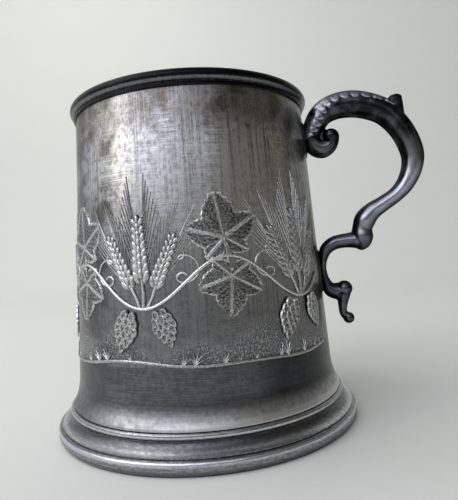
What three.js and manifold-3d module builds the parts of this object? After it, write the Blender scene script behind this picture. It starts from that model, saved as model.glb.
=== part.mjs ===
// A pewter pint tankard: a tapered sheet drum with a frieze in low relief, an applied lip, a stepped
// foot built of three rings, a soldered floor and one cast scroll handle. Millimetres, +Z up, standing
// on Z = 0.
// The drum's axis is vertical and the handle reaches out along +X.
import * as THREE from 'three';
import { mergeVertices } from 'three/addons/utils/BufferGeometryUtils.js';
import Module from 'manifold-3d';

// Driving dimensions: overall
const tankardHeight = 114;
const clearance = 0.3; // solder gap between neighbouring pieces
const facets = 48; // flats round every turned piece
const flareSteps = 5; // flats up the drum's flare
const weld = 0.02; // slivers narrower than this close up

// Driving dimensions: drum
const mouthRadius = 41.4; // outside of the sheet at the mouth
const drumBaseRadius = 46.5; // outside of the straight wall carried down to the foot seam
const sheet = 1.6;
const flareHeight = 9.6;
const flareOut = 2.2; // how far the lower edge turns out past the straight wall

// Driving dimensions: frieze, a running vine of hops with barley ears over a ground line
const friezeBays = 5;
const friezeGap = 2; // flats of plain wall on each side of the handle
const friezeRelief = 0.62; // height over the wall
const friezeRoot = 0.5; // depth at which the relief is one with the wall
const groundHeight = 28; // table to the ground line
const groundWidth = 1.5;
const vineHeight = 51.5; // table to the middle of the vine
const vineSwing = 7; // rise and fall of the vine
const vineWidth = 1.3;
const hopLeafLength = 13.4; // stalk to tip
const hopConeLength = 9.8;
const hopConeWidth = 6.2;
const hopConeStalk = 0.9; // root of the stalk to the top of the cone
const earLength = 24; // foot of the stalk to the tip of a barley ear
const earWidth = 4.4;

// Driving dimensions: lip
const lipHeight = 5.6;
const lipLand = 0.3; // flat on top of the lip, inside its bead
const beadRadius = 1.5;
const lipFeather = 0.6; // thickness of the lip's lower edge

// Driving dimensions: foot rings
const footSpread = 5.3; // rim's reach beyond the drum's lower edge
const rimHeight = 4.5;
const rimThickness = 2.6;
const rimShoulder = 1.3; // round on the rim's upper edge
const rimChamfer = 0.9; // worn edge where the rim meets the table
const cavettoHeight = 3.5;
const collarHeight = 2;
const collarBulge = 0.9; // collar's reach beyond the drum's lower edge
const ledgeProud = 0.6; // top of the hollow moulding beyond the drum's lower edge
const neckInset = 0.5; // neck inside the collar, in from the drum's lower edge
const flangeWidth = 5.2; // flange under the drum and the floor
const skirtWall = 1.5;
const tongueLift = 1; // skirt's tongue ends this far above the table

// Driving dimensions: floor
const floorThickness = 1.6;
const filletLeg = 1.5;

// Driving dimensions: handle
const handleDrop = 0.2; // top of the handle below the lip
const handleReach = 40; // wall to the outside of the loop
const handleLength = 82.6; // top of the loop to the tip of the tail
const voluteDrop = 15.8; // top of the handle to the middle of the upper volute
const voluteRadius = 3.8; // middle line of the curl
const voluteWidth = 7.6;
const voluteTipThickness = 4.1;
const voluteOpening = 0.8; // space that the curl leaves round its middle
const voluteSeat = 0.7; // depth of the curl that is filed flat against the wall
const coreWidth = 4.4; // sunk disc inside the curl
const eyeOffset = 3; // eye beyond the middle of the curl
const eyeRadius = 2.6;
const eyeWidth = 9.6;
const strapThickness = 2; // thinnest place of the lower scroll, on the wall
const strapWidth = 6;
const scrollEndOut = 7.8; // wall to the middle of the lower scroll's rolled end
const scrollEndRadius = 2.7;
const scrollEndWidth = 7;
const tailTipRadius = 1.9;
const tailTipWidth = 4.4;
const leafRelief = 0.5; // leaf's height over the loop
const leafLobes = 13;
const solderRelief = 0.9; // height of the solder run over the wall
const solderMargin = 1.8; // width of the solder run round a joint

// Heights and radii that follow from the driving dimensions
const ledgeTop = rimHeight + cavettoHeight;
const flangeTop = ledgeTop + collarHeight;
const drumBottom = flangeTop + clearance;
const flareTop = drumBottom + flareHeight;
const wallSlope = (drumBaseRadius - mouthRadius) / (tankardHeight - drumBottom);
const handleTop = tankardHeight - handleDrop;
const voluteThickness = 2 * voluteRadius - voluteOpening;
const voluteOut = voluteRadius + voluteThickness / 2 - voluteSeat;
const strapMiddle = strapThickness / 2 + clearance;

// Outside radius of the straight wall, and of the drum with its flare, at a height
const wallRadius = (z) => mouthRadius + wallSlope * (tankardHeight - z);
const drumRadius = (z) => wallRadius(z) + flareOut * (Math.max(0, flareTop - z) / flareHeight) ** 2;
const drumEdge = drumRadius(drumBottom);
const footRadius = drumEdge + footSpread;
const floorRadius = (z) => drumRadius(z) - sheet - clearance;

// The frieze is laid out flat at the wall's mean radius and bent round the wall
const friezeRadius = (mouthRadius + drumBaseRadius) / 2;
const friezeStart = (2 * Math.PI * friezeGap) / facets;
const friezeLength = 2 * (Math.PI - friezeStart) * friezeRadius;
const bayLength = friezeLength / friezeBays;

// Stations of the handle's castings: distance out from the wall, drop below the handle's top,
// thickness in the handle's plane, width across it
const reach = (share) => share * handleReach;
const drop = (share) => share * handleLength;

// The loop, from the volute over the top and down to the knuckle's point
const loopStations = [
  [reach(0.105), drop(0.14), 7, 8.2],
  [reach(0.178), drop(0.091), 7.8, 8.8],
  [reach(0.283), drop(0.065), 8.5, 9.1],
  [reach(0.421), drop(0.059), 8.9, 9.3],
  [reach(0.57), drop(0.075), 8.7, 9.3],
  [reach(0.722), drop(0.116), 8.4, 9.3],
  [reach(0.843), drop(0.196), 8, 9.1],
  [reach(0.902), drop(0.288), 7.8, 8.8],
  [reach(0.887), drop(0.354), 6.9, 8],
  [reach(0.823), drop(0.416), 6, 7.4],
  [reach(0.732), drop(0.462), 5.2, 6.8],
  [reach(0.612), drop(0.498), 5.4, 6.8],
  [reach(0.515), drop(0.525), 6.2, 7.2],
  [reach(0.446), drop(0.558), 7, 7.8],
  [reach(0.41), drop(0.597), 7.3, 8.2],
  [reach(0.401), drop(0.633), 7.3, 8.2],
  [reach(0.389), drop(0.664), 5.6, 6.4],
  [reach(0.369), drop(0.688), 1.6, 2.4],
];

// The rolled end of the lower scroll. What meets it keeps its own place beside it, out and down from its
// middle, so that the joint stays the same at any reach and length.
const scrollEnd = [scrollEndOut, drop(0.849)];
const fromScrollEnd = (out, down) => [scrollEnd[0] + out, scrollEnd[1] + down];

// The lower scroll, from inside the knuckle down the wall to its rolled end
const strapTop = drop(0.687); // where the scroll comes down on the wall
const scrollStations = [
  [reach(0.385), drop(0.643), 5.2, 6.6],
  [reach(0.262), drop(0.643), 4.8, 6.2],
  [reach(0.14), drop(0.653), 4.8, strapWidth],
  [strapMiddle + 1.1, strapTop, strapThickness + 2, strapWidth],
  [strapMiddle, drop(0.748), strapThickness, strapWidth],
  [strapMiddle + 0.3, drop(0.808), strapThickness + 0.6, strapWidth],
  [...fromScrollEnd(-4.92, 0), 5, 6.2],
  [...fromScrollEnd(-1.92, 1.0738), 6, 6.4],
];

// The tail below the rolled end, and the button at its tip
const tailStations = [
  [...fromScrollEnd(-0.52, 1.8998), 4.8, 5.2],
  [...fromScrollEnd(-1.32, 6.2776), 3, 3.6],
  [...fromScrollEnd(-1.32, 8.9208), 2.6, 3.2],
  [...fromScrollEnd(-0.2, 10.325), 2.8, 3.2],
];
const tailTip = fromScrollEnd(0.28, 10.5728);

// The spur that ends the leaf, from its root to its point
const spurStations = [
  [reach(0.785), drop(0.106), 8, 6.6],
  [reach(0.809), drop(0.078), 6, 5.4],
  [reach(0.824), drop(0.06), 4.7, 4.4],
  [reach(0.835), drop(0.05), 3.6, 3.4],
  [reach(0.84), drop(0.041), 2, 2],
];
const leafSpan = [3.6, 10.5]; // first and last station under the leaf, counted from the volute's tip
const leafSeat = 0.35; // leaf's middle, as a share of the loop's half thickness outward

// Half of a hop leaf's edge, from its tip to its stalk: degrees from the tip, distance from the stalk as
// a share of the leaf's length, and 1 where a vein ends
const hopLeafEdge = [
  [0, 1, 1],
  [24, 0.75, 0],
  [39, 0.61, 0],
  [66, 0.87, 1],
  [107, 0.48, 0],
  [128, 0.61, 1],
  [180, 0.19, 0],
];

// Half of a barley ear's edge, from its lowest grain to its tip: across and up, as shares of its width
// and length
const earEdge = [
  [0, 0.19],
  [0.46, 0.32],
  [0.5, 0.55],
  [0.36, 0.8],
  [0, 1],
];

// Rise of the motifs as shares of the relief: in the middle, then ring by ring outwards, where a ring is
// its share of the way to the edge, its rise between the veins and its rise on them
const hopLeafPeak = 0.95;
const hopLeafRings = [[0.55, 0.55, 0.95], [1, 0.8, 0.8]];
const hopConePeak = 1.7;
const hopConeRings = [[1, 0.5, 0.5]];
const earPeak = 1.2;
const earRings = [[1, 0.6, 0.6]];

// The ground line: its rise as a share of the relief, and its waves as number round the drum, height
// and phase
const groundRise = 0.7;
const groundWaves = [[3, 0.9, 0.8], [7, 0.5, 2]];

// Places of the vine's crest and trough in a bay, and the motifs there: along and up from that place,
// turn in degrees, size
const crest = 0.25;
const trough = 0.75;
const crestLeaves = [
  [-0.6, 5.4, 9, 1.08],
  [0.8, -5.8, 175, 0.95],
];
const troughEars = [
  [-1.2, 0.5, 26, 1.16],
  [0, 0.5, 2, 1.3],
  [1.2, 0.5, -24, 1.1],
];
const troughCones = [
  [-4.6, 0, -16, 1.12],
  [4.4, 0.2, 18, 1.02],
];

const drumPewter = { color: 0x77736c, roughness: 0.42, metalness: 1 };
const footPewter = { color: 0x6d6a65, roughness: 0.36, metalness: 1 };
const handlePewter = { color: 0x46464b, roughness: 0.3, metalness: 1 };
const solderPewter = { color: 0x5b5a58, roughness: 0.5, metalness: 1 };

const wasm = await Module();
wasm.setup();

// Turns a closed geometry into a solid that can be joined and cut
function solidOf(geometry) {
  const bare = geometry.clone();
  bare.deleteAttribute('normal');
  bare.deleteAttribute('uv');
  const merged = mergeVertices(bare, 1e-4);
  return new wasm.Manifold(new wasm.Mesh({
    numProp: 3,
    vertProperties: new Float32Array(merged.attributes.position.array),
    triVerts: new Uint32Array(merged.index.array),
  }));
}

function solidFrom(positions, triangles) {
  const geometry = new THREE.BufferGeometry();
  geometry.setAttribute('position', new THREE.Float32BufferAttribute(positions, 3));
  geometry.setIndex(triangles);
  return solidOf(geometry);
}

function geometryOf(solid) {
  const mesh = solid.getMesh();
  const geometry = new THREE.BufferGeometry();
  geometry.setAttribute('position', new THREE.BufferAttribute(mesh.vertProperties, 3));
  geometry.setIndex(new THREE.BufferAttribute(mesh.triVerts, 1));
  return geometry;
}

// Turns a profile in radius and height round the Z axis; the profile climbs on its outer side
function turned(profile) {
  return new THREE.LatheGeometry(profile, facets).rotateX(Math.PI / 2);
}

// A closed ring from a path in radius and height, with its curves in a few steps
function turnedRing(path, steps) {
  const profile = path.getPoints(steps);
  const start = profile[0];
  if (profile[profile.length - 1].distanceTo(start) > 1e-6) {
    profile.push(start.clone());
  }
  return turned(profile);
}

// Points of the drum's outside between two heights, moved in or out by an offset
function drumProfile(low, high, offset, steps) {
  const heights = [];
  for (let i = 0; i < steps; i += 1) {
    heights.push(low + ((flareTop - low) * i) / steps);
  }
  heights.push(flareTop, high);
  return heights.map((z) => new THREE.Vector2(drumRadius(z) + offset, z));
}

// A point of the frieze from its distance round the wall, its height and its rise over the wall
function friezePoint(along, up, rise) {
  const angle = friezeStart + along / friezeRadius;
  const radius = wallRadius(up) + rise;
  return [radius * Math.cos(angle), radius * Math.sin(angle), up];
}

// A motif raised from the wall at a place in the frieze, closed inside the wall. Its edge runs
// anticlockwise in across, up and vein, and its top goes from the peak in the middle to the edge by rings.
function motif({ edge, middle, peak, rings }, [along, up, turn, size]) {
  const angle = THREE.MathUtils.degToRad(turn);
  const root = new THREE.Vector2();
  const placed = (flat, rise) => {
    const { x, y } = flat.clone().rotateAround(root, angle).multiplyScalar(size);
    return friezePoint(along + x, up + y, rise);
  };
  const levels = rings.map(([share, between, onVein]) => ({
    share,
    riseOf: (vein) => friezeRelief * (vein ? onVein : between),
  }));
  levels.push({ share: 1, riseOf: () => -friezeRoot });
  const positions = [];
  for (const { share, riseOf } of levels) {
    for (const [x, y, vein] of edge) {
      positions.push(...placed(middle.clone().lerp(new THREE.Vector2(x, y), share), riseOf(vein)));
    }
  }
  const count = edge.length;
  const top = levels.length * count;
  const under = top + 1;
  const lowest = top - count;
  positions.push(...placed(middle, friezeRelief * peak), ...placed(middle, -friezeRoot));
  const triangles = [];
  for (let j = 0; j < count; j += 1) {
    const next = (j + 1) % count;
    triangles.push(top, j, next);
    for (let inner = 0; inner < lowest; inner += count) {
      const outer = inner + count;
      triangles.push(inner + j, outer + j, outer + next);
      triangles.push(inner + j, outer + next, inner + next);
    }
    triangles.push(under, lowest + next, lowest + j);
  }
  return solidFrom(positions, triangles);
}

function hopLeaf() {
  const half = hopLeafEdge.map(([degrees, share, vein]) => {
    const angle = THREE.MathUtils.degToRad(degrees);
    return [-hopLeafLength * share * Math.sin(angle), hopLeafLength * share * Math.cos(angle), vein];
  });
  const mirrored = half.slice(1, -1).reverse().map(([x, y, vein]) => [-x, y, vein]);
  const middle = new THREE.Vector2();
  return { edge: [...half, ...mirrored], middle, peak: hopLeafPeak, rings: hopLeafRings };
}

function hopCone() {
  const sides = 6;
  const middle = new THREE.Vector2(0, -hopConeStalk - hopConeLength / 2);
  const edge = [];
  for (let i = 0; i < sides; i += 1) {
    const angle = (2 * Math.PI * (i + 0.5)) / sides;
    const x = middle.x + (hopConeWidth / 2) * Math.cos(angle);
    const y = middle.y + (hopConeLength / 2) * Math.sin(angle);
    edge.push([x, y, 0]);
  }
  return { edge, middle, peak: hopConePeak, rings: hopConeRings };
}

function barleyEar() {
  const right = earEdge.map(([across, up]) => [across * earWidth, up * earLength, 0]);
  const left = right.slice(1, -1).reverse().map(([x, y, vein]) => [-x, y, vein]);
  const middle = new THREE.Vector2(0, earLength / 2);
  return { edge: [...right, ...left], middle, peak: earPeak, rings: earRings };
}

// A raised line round the wall, with a corner on each edge of the wall's flats
function ridge(heightAt, width, rise) {
  const steps = facets - 2 * friezeGap;
  const section = [[-0.5, -friezeRoot], [0.5, -friezeRoot], [0.25, rise], [-0.25, rise]];
  const sides = section.length;
  const flat = friezeLength / steps;
  const positions = [];
  for (let i = 0; i <= steps; i += 1) {
    const along = i * flat;
    const slope = (heightAt(along + flat / 2) - heightAt(along - flat / 2)) / flat;
    for (const [across, lift] of section) {
      positions.push(...friezePoint(along, heightAt(along) + across * width * Math.hypot(1, slope), lift));
    }
  }
  const last = steps * sides;
  const triangles = [0, 1, 2, 0, 2, 3, last, last + 2, last + 1, last, last + 3, last + 2];
  for (let i = 0; i < last; i += sides) {
    for (let j = 0; j < sides; j += 1) {
      const next = (j + 1) % sides;
      triangles.push(i + j, i + sides + j, i + next);
      triangles.push(i + next, i + sides + j, i + sides + next);
    }
  }
  return solidFrom(positions, triangles);
}

// Heights of the vine and of the ground at a distance round the wall
function vineAt(along) {
  return vineHeight + vineSwing * Math.cos(2 * Math.PI * (along / bayLength - crest));
}

function groundAt(along) {
  const angle = friezeStart + along / friezeRadius;
  const waves = groundWaves.map(([count, height, phase]) => height * Math.sin(count * angle + phase));
  return waves.reduce((sum, wave) => sum + wave, groundHeight);
}

function frieze() {
  const pieces = [
    ridge(vineAt, vineWidth, friezeRelief),
    ridge(groundAt, groundWidth, groundRise * friezeRelief),
  ];
  const sets = [
    [hopLeaf(), crest, crestLeaves],
    [barleyEar(), trough, troughEars],
    [hopCone(), trough, troughCones],
  ];
  for (let bay = 0; bay < friezeBays; bay += 1) {
    for (const [shape, share, spots] of sets) {
      const along = (bay + share) * bayLength;
      for (const [aside, above, turn, size] of spots) {
        pieces.push(motif(shape, [along + aside, vineAt(along) + above, turn, size]));
      }
    }
  }
  return pieces;
}

function bodyDrum() {
  const outside = drumProfile(drumBottom, tankardHeight, 0, flareSteps);
  const inside = drumProfile(drumBottom, tankardHeight, -sheet, flareSteps - 2).reverse();
  const plain = solidOf(turned([...outside, ...inside, outside[0].clone()]));
  return geometryOf(wasm.Manifold.union([plain, ...frieze()]).asOriginal().simplify(weld));
}

function lipBand() {
  const bottom = tankardHeight - lipHeight;
  const beadRing = wallRadius(tankardHeight) + clearance + lipLand;
  const beadHeight = tankardHeight - beadRadius;
  const beadStart = -Math.PI / 3;
  const beadFoot = new THREE.Vector2(Math.cos(beadStart), Math.sin(beadStart)).multiplyScalar(beadRadius);
  const path = new THREE.Path();
  path.moveTo(wallRadius(bottom) + clearance, bottom);
  path.lineTo(wallRadius(bottom) + clearance + lipFeather, bottom);
  path.quadraticCurveTo(
    beadRing, beadHeight + beadFoot.y,
    beadRing + beadFoot.x, beadHeight + beadFoot.y,
  );
  path.absarc(beadRing, beadHeight, beadRadius, beadStart, Math.PI / 2, false);
  path.lineTo(wallRadius(tankardHeight) + clearance, tankardHeight);
  path.closePath();
  return turnedRing(path, 3);
}

function collarWire() {
  const inner = drumEdge - neckInset + clearance;
  const bottom = ledgeTop + clearance;
  const halfHeight = (flangeTop - bottom) / 2;
  const reach = drumEdge + collarBulge - inner;
  const middle = bottom + halfHeight;
  const path = new THREE.Path();
  path.moveTo(inner, bottom);
  path.lineTo(inner + reach / 3, bottom);
  path.absellipse(inner + reach / 3, middle, (reach * 2) / 3, halfHeight, -Math.PI / 2, Math.PI / 2, false);
  path.lineTo(inner, flangeTop);
  path.closePath();
  return turnedRing(path, 4);
}

function footSkirt() {
  const neck = drumEdge - neckInset;
  const ledge = drumEdge + ledgeProud;
  const foot = rimHeight + clearance;
  const footEdge = footRadius - rimShoulder;
  const tongueOuter = footRadius - rimThickness - clearance;
  const tongueInner = tongueOuter - skirtWall;
  const flangeUnder = flangeTop - skirtWall;
  const path = new THREE.Path();
  path.moveTo(tongueInner, tongueLift);
  path.lineTo(tongueOuter, tongueLift);
  path.lineTo(tongueOuter, foot);
  path.lineTo(footEdge, foot);
  path.quadraticCurveTo(ledge, foot, ledge, ledgeTop);
  path.lineTo(neck, ledgeTop);
  path.lineTo(neck, flangeTop);
  path.lineTo(drumEdge - flangeWidth, flangeTop);
  path.lineTo(drumEdge - flangeWidth, flangeUnder);
  path.lineTo(neck - skirtWall, flangeUnder);
  path.quadraticCurveTo(neck - skirtWall, foot - skirtWall, tongueInner, foot - skirtWall);
  path.closePath();
  return turnedRing(path, 4);
}

function footRim() {
  const inner = footRadius - rimThickness;
  const path = new THREE.Path();
  path.moveTo(inner, 0);
  path.lineTo(footRadius - rimChamfer, 0);
  path.lineTo(footRadius, rimChamfer);
  path.lineTo(footRadius, rimHeight - rimShoulder);
  path.absarc(footRadius - rimShoulder, rimHeight - rimShoulder, rimShoulder, 0, Math.PI / 2, false);
  path.lineTo(inner, rimHeight);
  path.closePath();
  return turnedRing(path, 3);
}

function bottomPlate() {
  const under = flangeTop + clearance;
  const top = under + floorThickness;
  return turned([
    new THREE.Vector2(0, under),
    new THREE.Vector2(floorRadius(top), under),
    new THREE.Vector2(floorRadius(top), top),
    new THREE.Vector2(0, top),
  ]);
}

function floorSolder() {
  const bottom = flangeTop + floorThickness + 2 * clearance;
  const top = bottom + filletLeg;
  const path = new THREE.Path();
  path.moveTo(floorRadius(top) - filletLeg, bottom);
  path.lineTo(floorRadius(top), bottom);
  path.lineTo(floorRadius(top), top);
  path.closePath();
  return turnedRing(path, 1);
}

// A point of the handle's plane, from its distance out from the wall and its drop below the top
function handlePoint(out, drop) {
  const z = handleTop - drop;
  return new THREE.Vector2(wallRadius(z) + out, z);
}

// Sections along a smooth line through a row of stations, between two stations of it
function sectionsAlong(stations, from, to, steps) {
  const last = stations.length - 1;
  const curveOf = (pointOf) => new THREE.SplineCurve(stations.map(pointOf));
  const line = curveOf(([out, down]) => handlePoint(out, down));
  const size = curveOf(([, , thickness, width]) => new THREE.Vector2(thickness / 2, width / 2));
  const sections = [];
  for (let i = 0; i <= steps; i += 1) {
    const t = THREE.MathUtils.lerp(from, to, i / steps) / last;
    const along = line.getTangent(t);
    const { x: thick, y: wide } = size.getPoint(t);
    const outward = new THREE.Vector2(-along.y, along.x);
    sections.push({ centre: line.getPoint(t), along, outward, thick, wide });
  }
  return sections;
}

// Skins a row of oval sections; grow thickens the skin all over
function skin(sections, sides, grow) {
  const positions = [];
  const addPoint = (flat, across) => positions.push(flat.x, across, flat.y);
  for (const { centre, outward, thick, wide } of sections) {
    for (let j = 0; j < sides; j += 1) {
      const angle = (2 * Math.PI * j) / sides;
      const lift = (thick + grow) * Math.cos(angle);
      addPoint(centre.clone().addScaledVector(outward, lift), (wide + grow) * Math.sin(angle));
    }
  }
  const steps = sections.length - 1;
  const startPole = positions.length / 3;
  const endPole = startPole + 1;
  addPoint(sections[0].centre.clone().addScaledVector(sections[0].along, -grow), 0);
  addPoint(sections[steps].centre.clone().addScaledVector(sections[steps].along, grow), 0);
  const triangles = [];
  for (let j = 0; j < sides; j += 1) {
    const next = (j + 1) % sides;
    for (let i = 0; i < steps; i += 1) {
      const here = i * sides;
      const there = here + sides;
      triangles.push(here + j, there + j, here + next);
      triangles.push(here + next, there + j, there + next);
    }
    triangles.push(startPole, j, next);
    triangles.push(endPole, steps * sides + next, steps * sides + j);
  }
  return solidFrom(positions, triangles);
}

function loft(stations, steps, sides, grow) {
  return skin(sectionsAlong(stations, 0, stations.length - 1, steps), sides, grow);
}

// A rounded boss across the handle's plane, flattened where it is narrower than it is round
function boss([out, down], radius, width, grow) {
  const straight = Math.max(width - 2 * radius, 0);
  const flat = Math.min(width / (2 * radius), 1);
  const point = handlePoint(out, down);
  const round = new THREE.CapsuleGeometry(radius + grow, straight, 3, 12);
  return solidOf(round.scale(1, flat, 1).translate(point.x, 0, point.y));
}

// The curl of the upper volute, from its tip under the eye round to where the loop leaves it
function voluteStations() {
  const tipAngle = THREE.MathUtils.degToRad(-6);
  const sweep = THREE.MathUtils.degToRad(-178);
  const count = 5;
  const stations = [];
  for (let i = 0; i < count; i += 1) {
    const share = i / (count - 1);
    const angle = tipAngle + sweep * share;
    const out = voluteOut + voluteRadius * Math.cos(angle);
    const down = voluteDrop - voluteRadius * Math.sin(angle);
    const swell = THREE.MathUtils.smoothstep(share, 0.1, 0.6);
    const thickness = THREE.MathUtils.lerp(voluteTipThickness, voluteThickness, swell);
    stations.push([out, down, thickness, voluteWidth]);
  }
  return stations;
}

// The leaf over the top of the loop: a thin raised layer with a lobed edge
function leaf(stations, grow) {
  const stepsPerLobe = 3;
  const sections = sectionsAlong(stations, leafSpan[0], leafSpan[1], leafLobes * stepsPerLobe);
  const layers = sections.map((section, i) => {
    const lobe = Math.abs(Math.sin((Math.PI * i) / stepsPerLobe));
    return {
      ...section,
      centre: section.centre.clone().addScaledVector(section.outward, leafSeat * section.thick),
      thick: (1 - leafSeat) * section.thick + leafRelief,
      wide: section.wide * Math.sqrt(1 - leafSeat ** 2) + leafRelief * (0.3 + lobe),
    };
  });
  return skin(layers, 10, grow);
}

// The whole casting before it is fitted to the wall; grow thickens it for cutting its solder
function handleCasting(grow) {
  const main = [...voluteStations(), ...loopStations];
  const pieces = [
    loft(main, 52, 14, grow),
    boss([voluteOut, voluteDrop], voluteRadius - voluteOpening / 2, coreWidth, grow),
    boss([voluteOut + eyeOffset, voluteDrop], eyeRadius, eyeWidth, grow),
    leaf(main, grow),
    loft(spurStations, 6, 10, grow),
    loft(scrollStations, 24, 12, grow),
    boss(scrollEnd, scrollEndRadius, scrollEndWidth, grow),
    loft(tailStations, 8, 10, grow),
    boss(tailTip, tailTipRadius, tailTipWidth, grow),
  ];
  return pieces.reduce((whole, piece) => whole.add(piece));
}

// The drum filled solid, out to an offset beyond its outside, for fitting pieces to it
function wallSolid(offset) {
  const outside = drumProfile(drumBottom, tankardHeight, offset, flareSteps);
  const bottom = new THREE.Vector2(0, drumBottom);
  const top = new THREE.Vector2(0, tankardHeight);
  return solidOf(turned([bottom, ...outside, top]));
}

function handle() {
  return geometryOf(handleCasting(0).subtract(wallSolid(clearance)));
}

// A run of solder on the wall round one joint of the handle, between two drops below its top
function solderRun(from, to, width) {
  const outline = new THREE.Shape();
  const middle = (from + to) / 2;
  const round = width / 2;
  const halfStraight = (to - from) / 2 - round;
  outline.absarc(0, halfStraight, round, 0, Math.PI, false);
  outline.absarc(0, -halfStraight, round, Math.PI, 2 * Math.PI, false);
  const depth = drumEdge + handleReach;
  const block = new THREE.ExtrudeGeometry(outline, { depth, bevelEnabled: false, curveSegments: 8 });
  block.rotateX(Math.PI / 2).rotateZ(Math.PI / 2).translate(0, 0, handleTop - middle);
  const layer = wallSolid(clearance + solderRelief).subtract(wallSolid(clearance));
  return geometryOf(solidOf(block).intersect(layer).subtract(handleCasting(clearance)));
}

function upperSolder() {
  const half = voluteRadius + voluteThickness / 2;
  return solderRun(voluteDrop - half, voluteDrop + half, voluteWidth + 2 * solderMargin);
}

function lowerSolder() {
  const from = strapTop - solderMargin;
  const to = scrollEnd[1] + solderMargin;
  return solderRun(from, to, strapWidth + 2 * solderMargin);
}

const tankard = new THREE.Group();
function addPiece(name, geometry, finish) {
  const mesh = new THREE.Mesh(geometry, new THREE.MeshStandardMaterial(finish));
  mesh.name = name;
  tankard.add(mesh);
}

addPiece('body_drum', bodyDrum(), drumPewter);
addPiece('lip_band', lipBand(), footPewter);
addPiece('collar_wire', collarWire(), footPewter);
addPiece('foot_skirt', footSkirt(), footPewter);
addPiece('foot_rim', footRim(), footPewter);
addPiece('bottom_plate', bottomPlate(), drumPewter);
addPiece('floor_solder', floorSolder(), solderPewter);
addPiece('handle', handle(), handlePewter);
addPiece('upper_solder', upperSolder(), solderPewter);
addPiece('lower_solder', lowerSolder(), solderPewter);

// The origin is the middle of the tankard's footprint, handle included, on the table
const middle = new THREE.Box3().setFromObject(tankard).getCenter(new THREE.Vector3());
tankard.position.set(-middle.x, -middle.y, 0);
const part = new THREE.Group();
part.add(tankard);

export default part;
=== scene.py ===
"""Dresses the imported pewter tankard: turned mouldings, brushed drum, hop and barley frieze, cast handle.

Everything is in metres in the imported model's own frame. The drum stands upright on Z = 0 and the
handle reaches out along +X.
"""

import math

import bpy
import numpy as np
from mathutils import Matrix, Vector


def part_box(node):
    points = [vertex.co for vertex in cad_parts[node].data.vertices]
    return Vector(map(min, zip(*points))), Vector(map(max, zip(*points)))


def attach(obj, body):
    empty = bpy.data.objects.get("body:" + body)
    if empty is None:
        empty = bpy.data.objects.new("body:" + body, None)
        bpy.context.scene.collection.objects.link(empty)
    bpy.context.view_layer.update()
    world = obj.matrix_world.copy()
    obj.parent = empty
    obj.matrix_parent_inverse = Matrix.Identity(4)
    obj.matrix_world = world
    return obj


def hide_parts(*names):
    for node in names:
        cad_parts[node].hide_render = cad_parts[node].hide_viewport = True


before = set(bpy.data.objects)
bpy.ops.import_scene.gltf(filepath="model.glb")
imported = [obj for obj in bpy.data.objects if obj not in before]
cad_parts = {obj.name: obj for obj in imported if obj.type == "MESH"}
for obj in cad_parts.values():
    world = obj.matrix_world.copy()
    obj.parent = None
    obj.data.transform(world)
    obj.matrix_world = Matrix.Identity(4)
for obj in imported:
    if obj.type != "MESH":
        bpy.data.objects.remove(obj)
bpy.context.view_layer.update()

bl_info = {
    "name": "Pewter Tankard",
    "version": (1, 0, 0),
    "blender": (4, 5, 0),
    "location": "View3D > Sidebar > Tankard",
    "description": "Builds the visible pieces of a pewter tankard over its packed solids",
    "category": "Object",
}

MM = 0.001
RIM_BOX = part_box("foot_rim")
DRUM_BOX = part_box("body_drum")
PLATE_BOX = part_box("bottom_plate")
HANDLE_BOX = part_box("handle")
AXIS_X = (RIM_BOX[0].x + RIM_BOX[1].x) / 2
MIDDLE = Vector((AXIS_X, 0, 60 * MM))
PHOTO_SIZE = (458, 500)
# Degrees that the camera stands round from the drum's front towards the handle
CAMERA_SWING = 15
# Setting of a Map Range that eases in and out
SOFT = {"interpolation_type": "SMOOTHSTEP"}


def linear(hex_colour):
    """Turns an sRGB hex colour into linear red, green, blue and alpha."""
    channels = [int(hex_colour[i : i + 2], 16) / 255 for i in (1, 3, 5)]
    curved = [c / 12.92 if c <= 0.04045 else ((c + 0.055) / 1.055) ** 2.4 for c in channels]
    return (*curved, 1.0)


def shade(colour, share):
    """A colour with a share of its light."""
    return (*(channel * share for channel in colour[:3]), 1.0)


def colour_property(name, description, hex_colour):
    """A colour of the panel, given in sRGB."""
    return bpy.props.FloatVectorProperty(
        name=name, description=description, subtype="COLOR", size=4, min=0, max=1, default=linear(hex_colour)
    )


def length_property(name, description, default):
    """A length of the panel, in metres."""
    return bpy.props.FloatProperty(
        name=name, description=description, default=default, min=0, unit="LENGTH", precision=5
    )


class TankardSizes(bpy.types.PropertyGroup):
    """Sizes of the tankard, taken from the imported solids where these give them."""

    height: length_property("Height", "Table to the top of the lip", DRUM_BOX[1].z)
    foot_radius: length_property("Foot radius", "Outside of the rim it stands on", RIM_BOX[1].x - AXIS_X)
    rim_height: length_property("Rim height", "Table to the top of the rim", RIM_BOX[1].z)
    drum_bottom: length_property("Drum bottom", "Table to the lower edge of the drum", DRUM_BOX[0].z)
    drum_edge: length_property("Drum edge", "Radius of the drum's lower edge", DRUM_BOX[1].x - AXIS_X)
    mouth_radius: length_property("Mouth radius", "Outside of the sheet at the mouth", 41.4 * MM)
    base_radius: length_property("Base radius", "Straight wall carried down to the foot", 46.5 * MM)
    sheet: length_property("Sheet", "Thickness of the drum's wall", 1.6 * MM)
    flare_height: length_property("Flare height", "Height of the curve at the drum's foot", 9.6 * MM)
    lip_height: length_property("Lip height", "Height of the lip moulding", 5.6 * MM)
    ground_height: length_property("Ground height", "Table to the frieze's ground line", 28 * MM)
    relief: length_property("Relief", "Height of the frieze over the wall", 0.62 * MM)
    repeats: bpy.props.IntProperty(
        name="Repeats", description="Bays of the frieze round the drum", default=5, min=1, max=12
    )
    frieze_gap: bpy.props.FloatProperty(
        name="Frieze gap",
        description="Half of the plain stretch behind the handle",
        default=math.radians(15),
        subtype="ANGLE",
    )
    segments: bpy.props.IntProperty(
        name="Segments", description="Flats round a turned piece", default=256, min=48, max=512
    )


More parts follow.
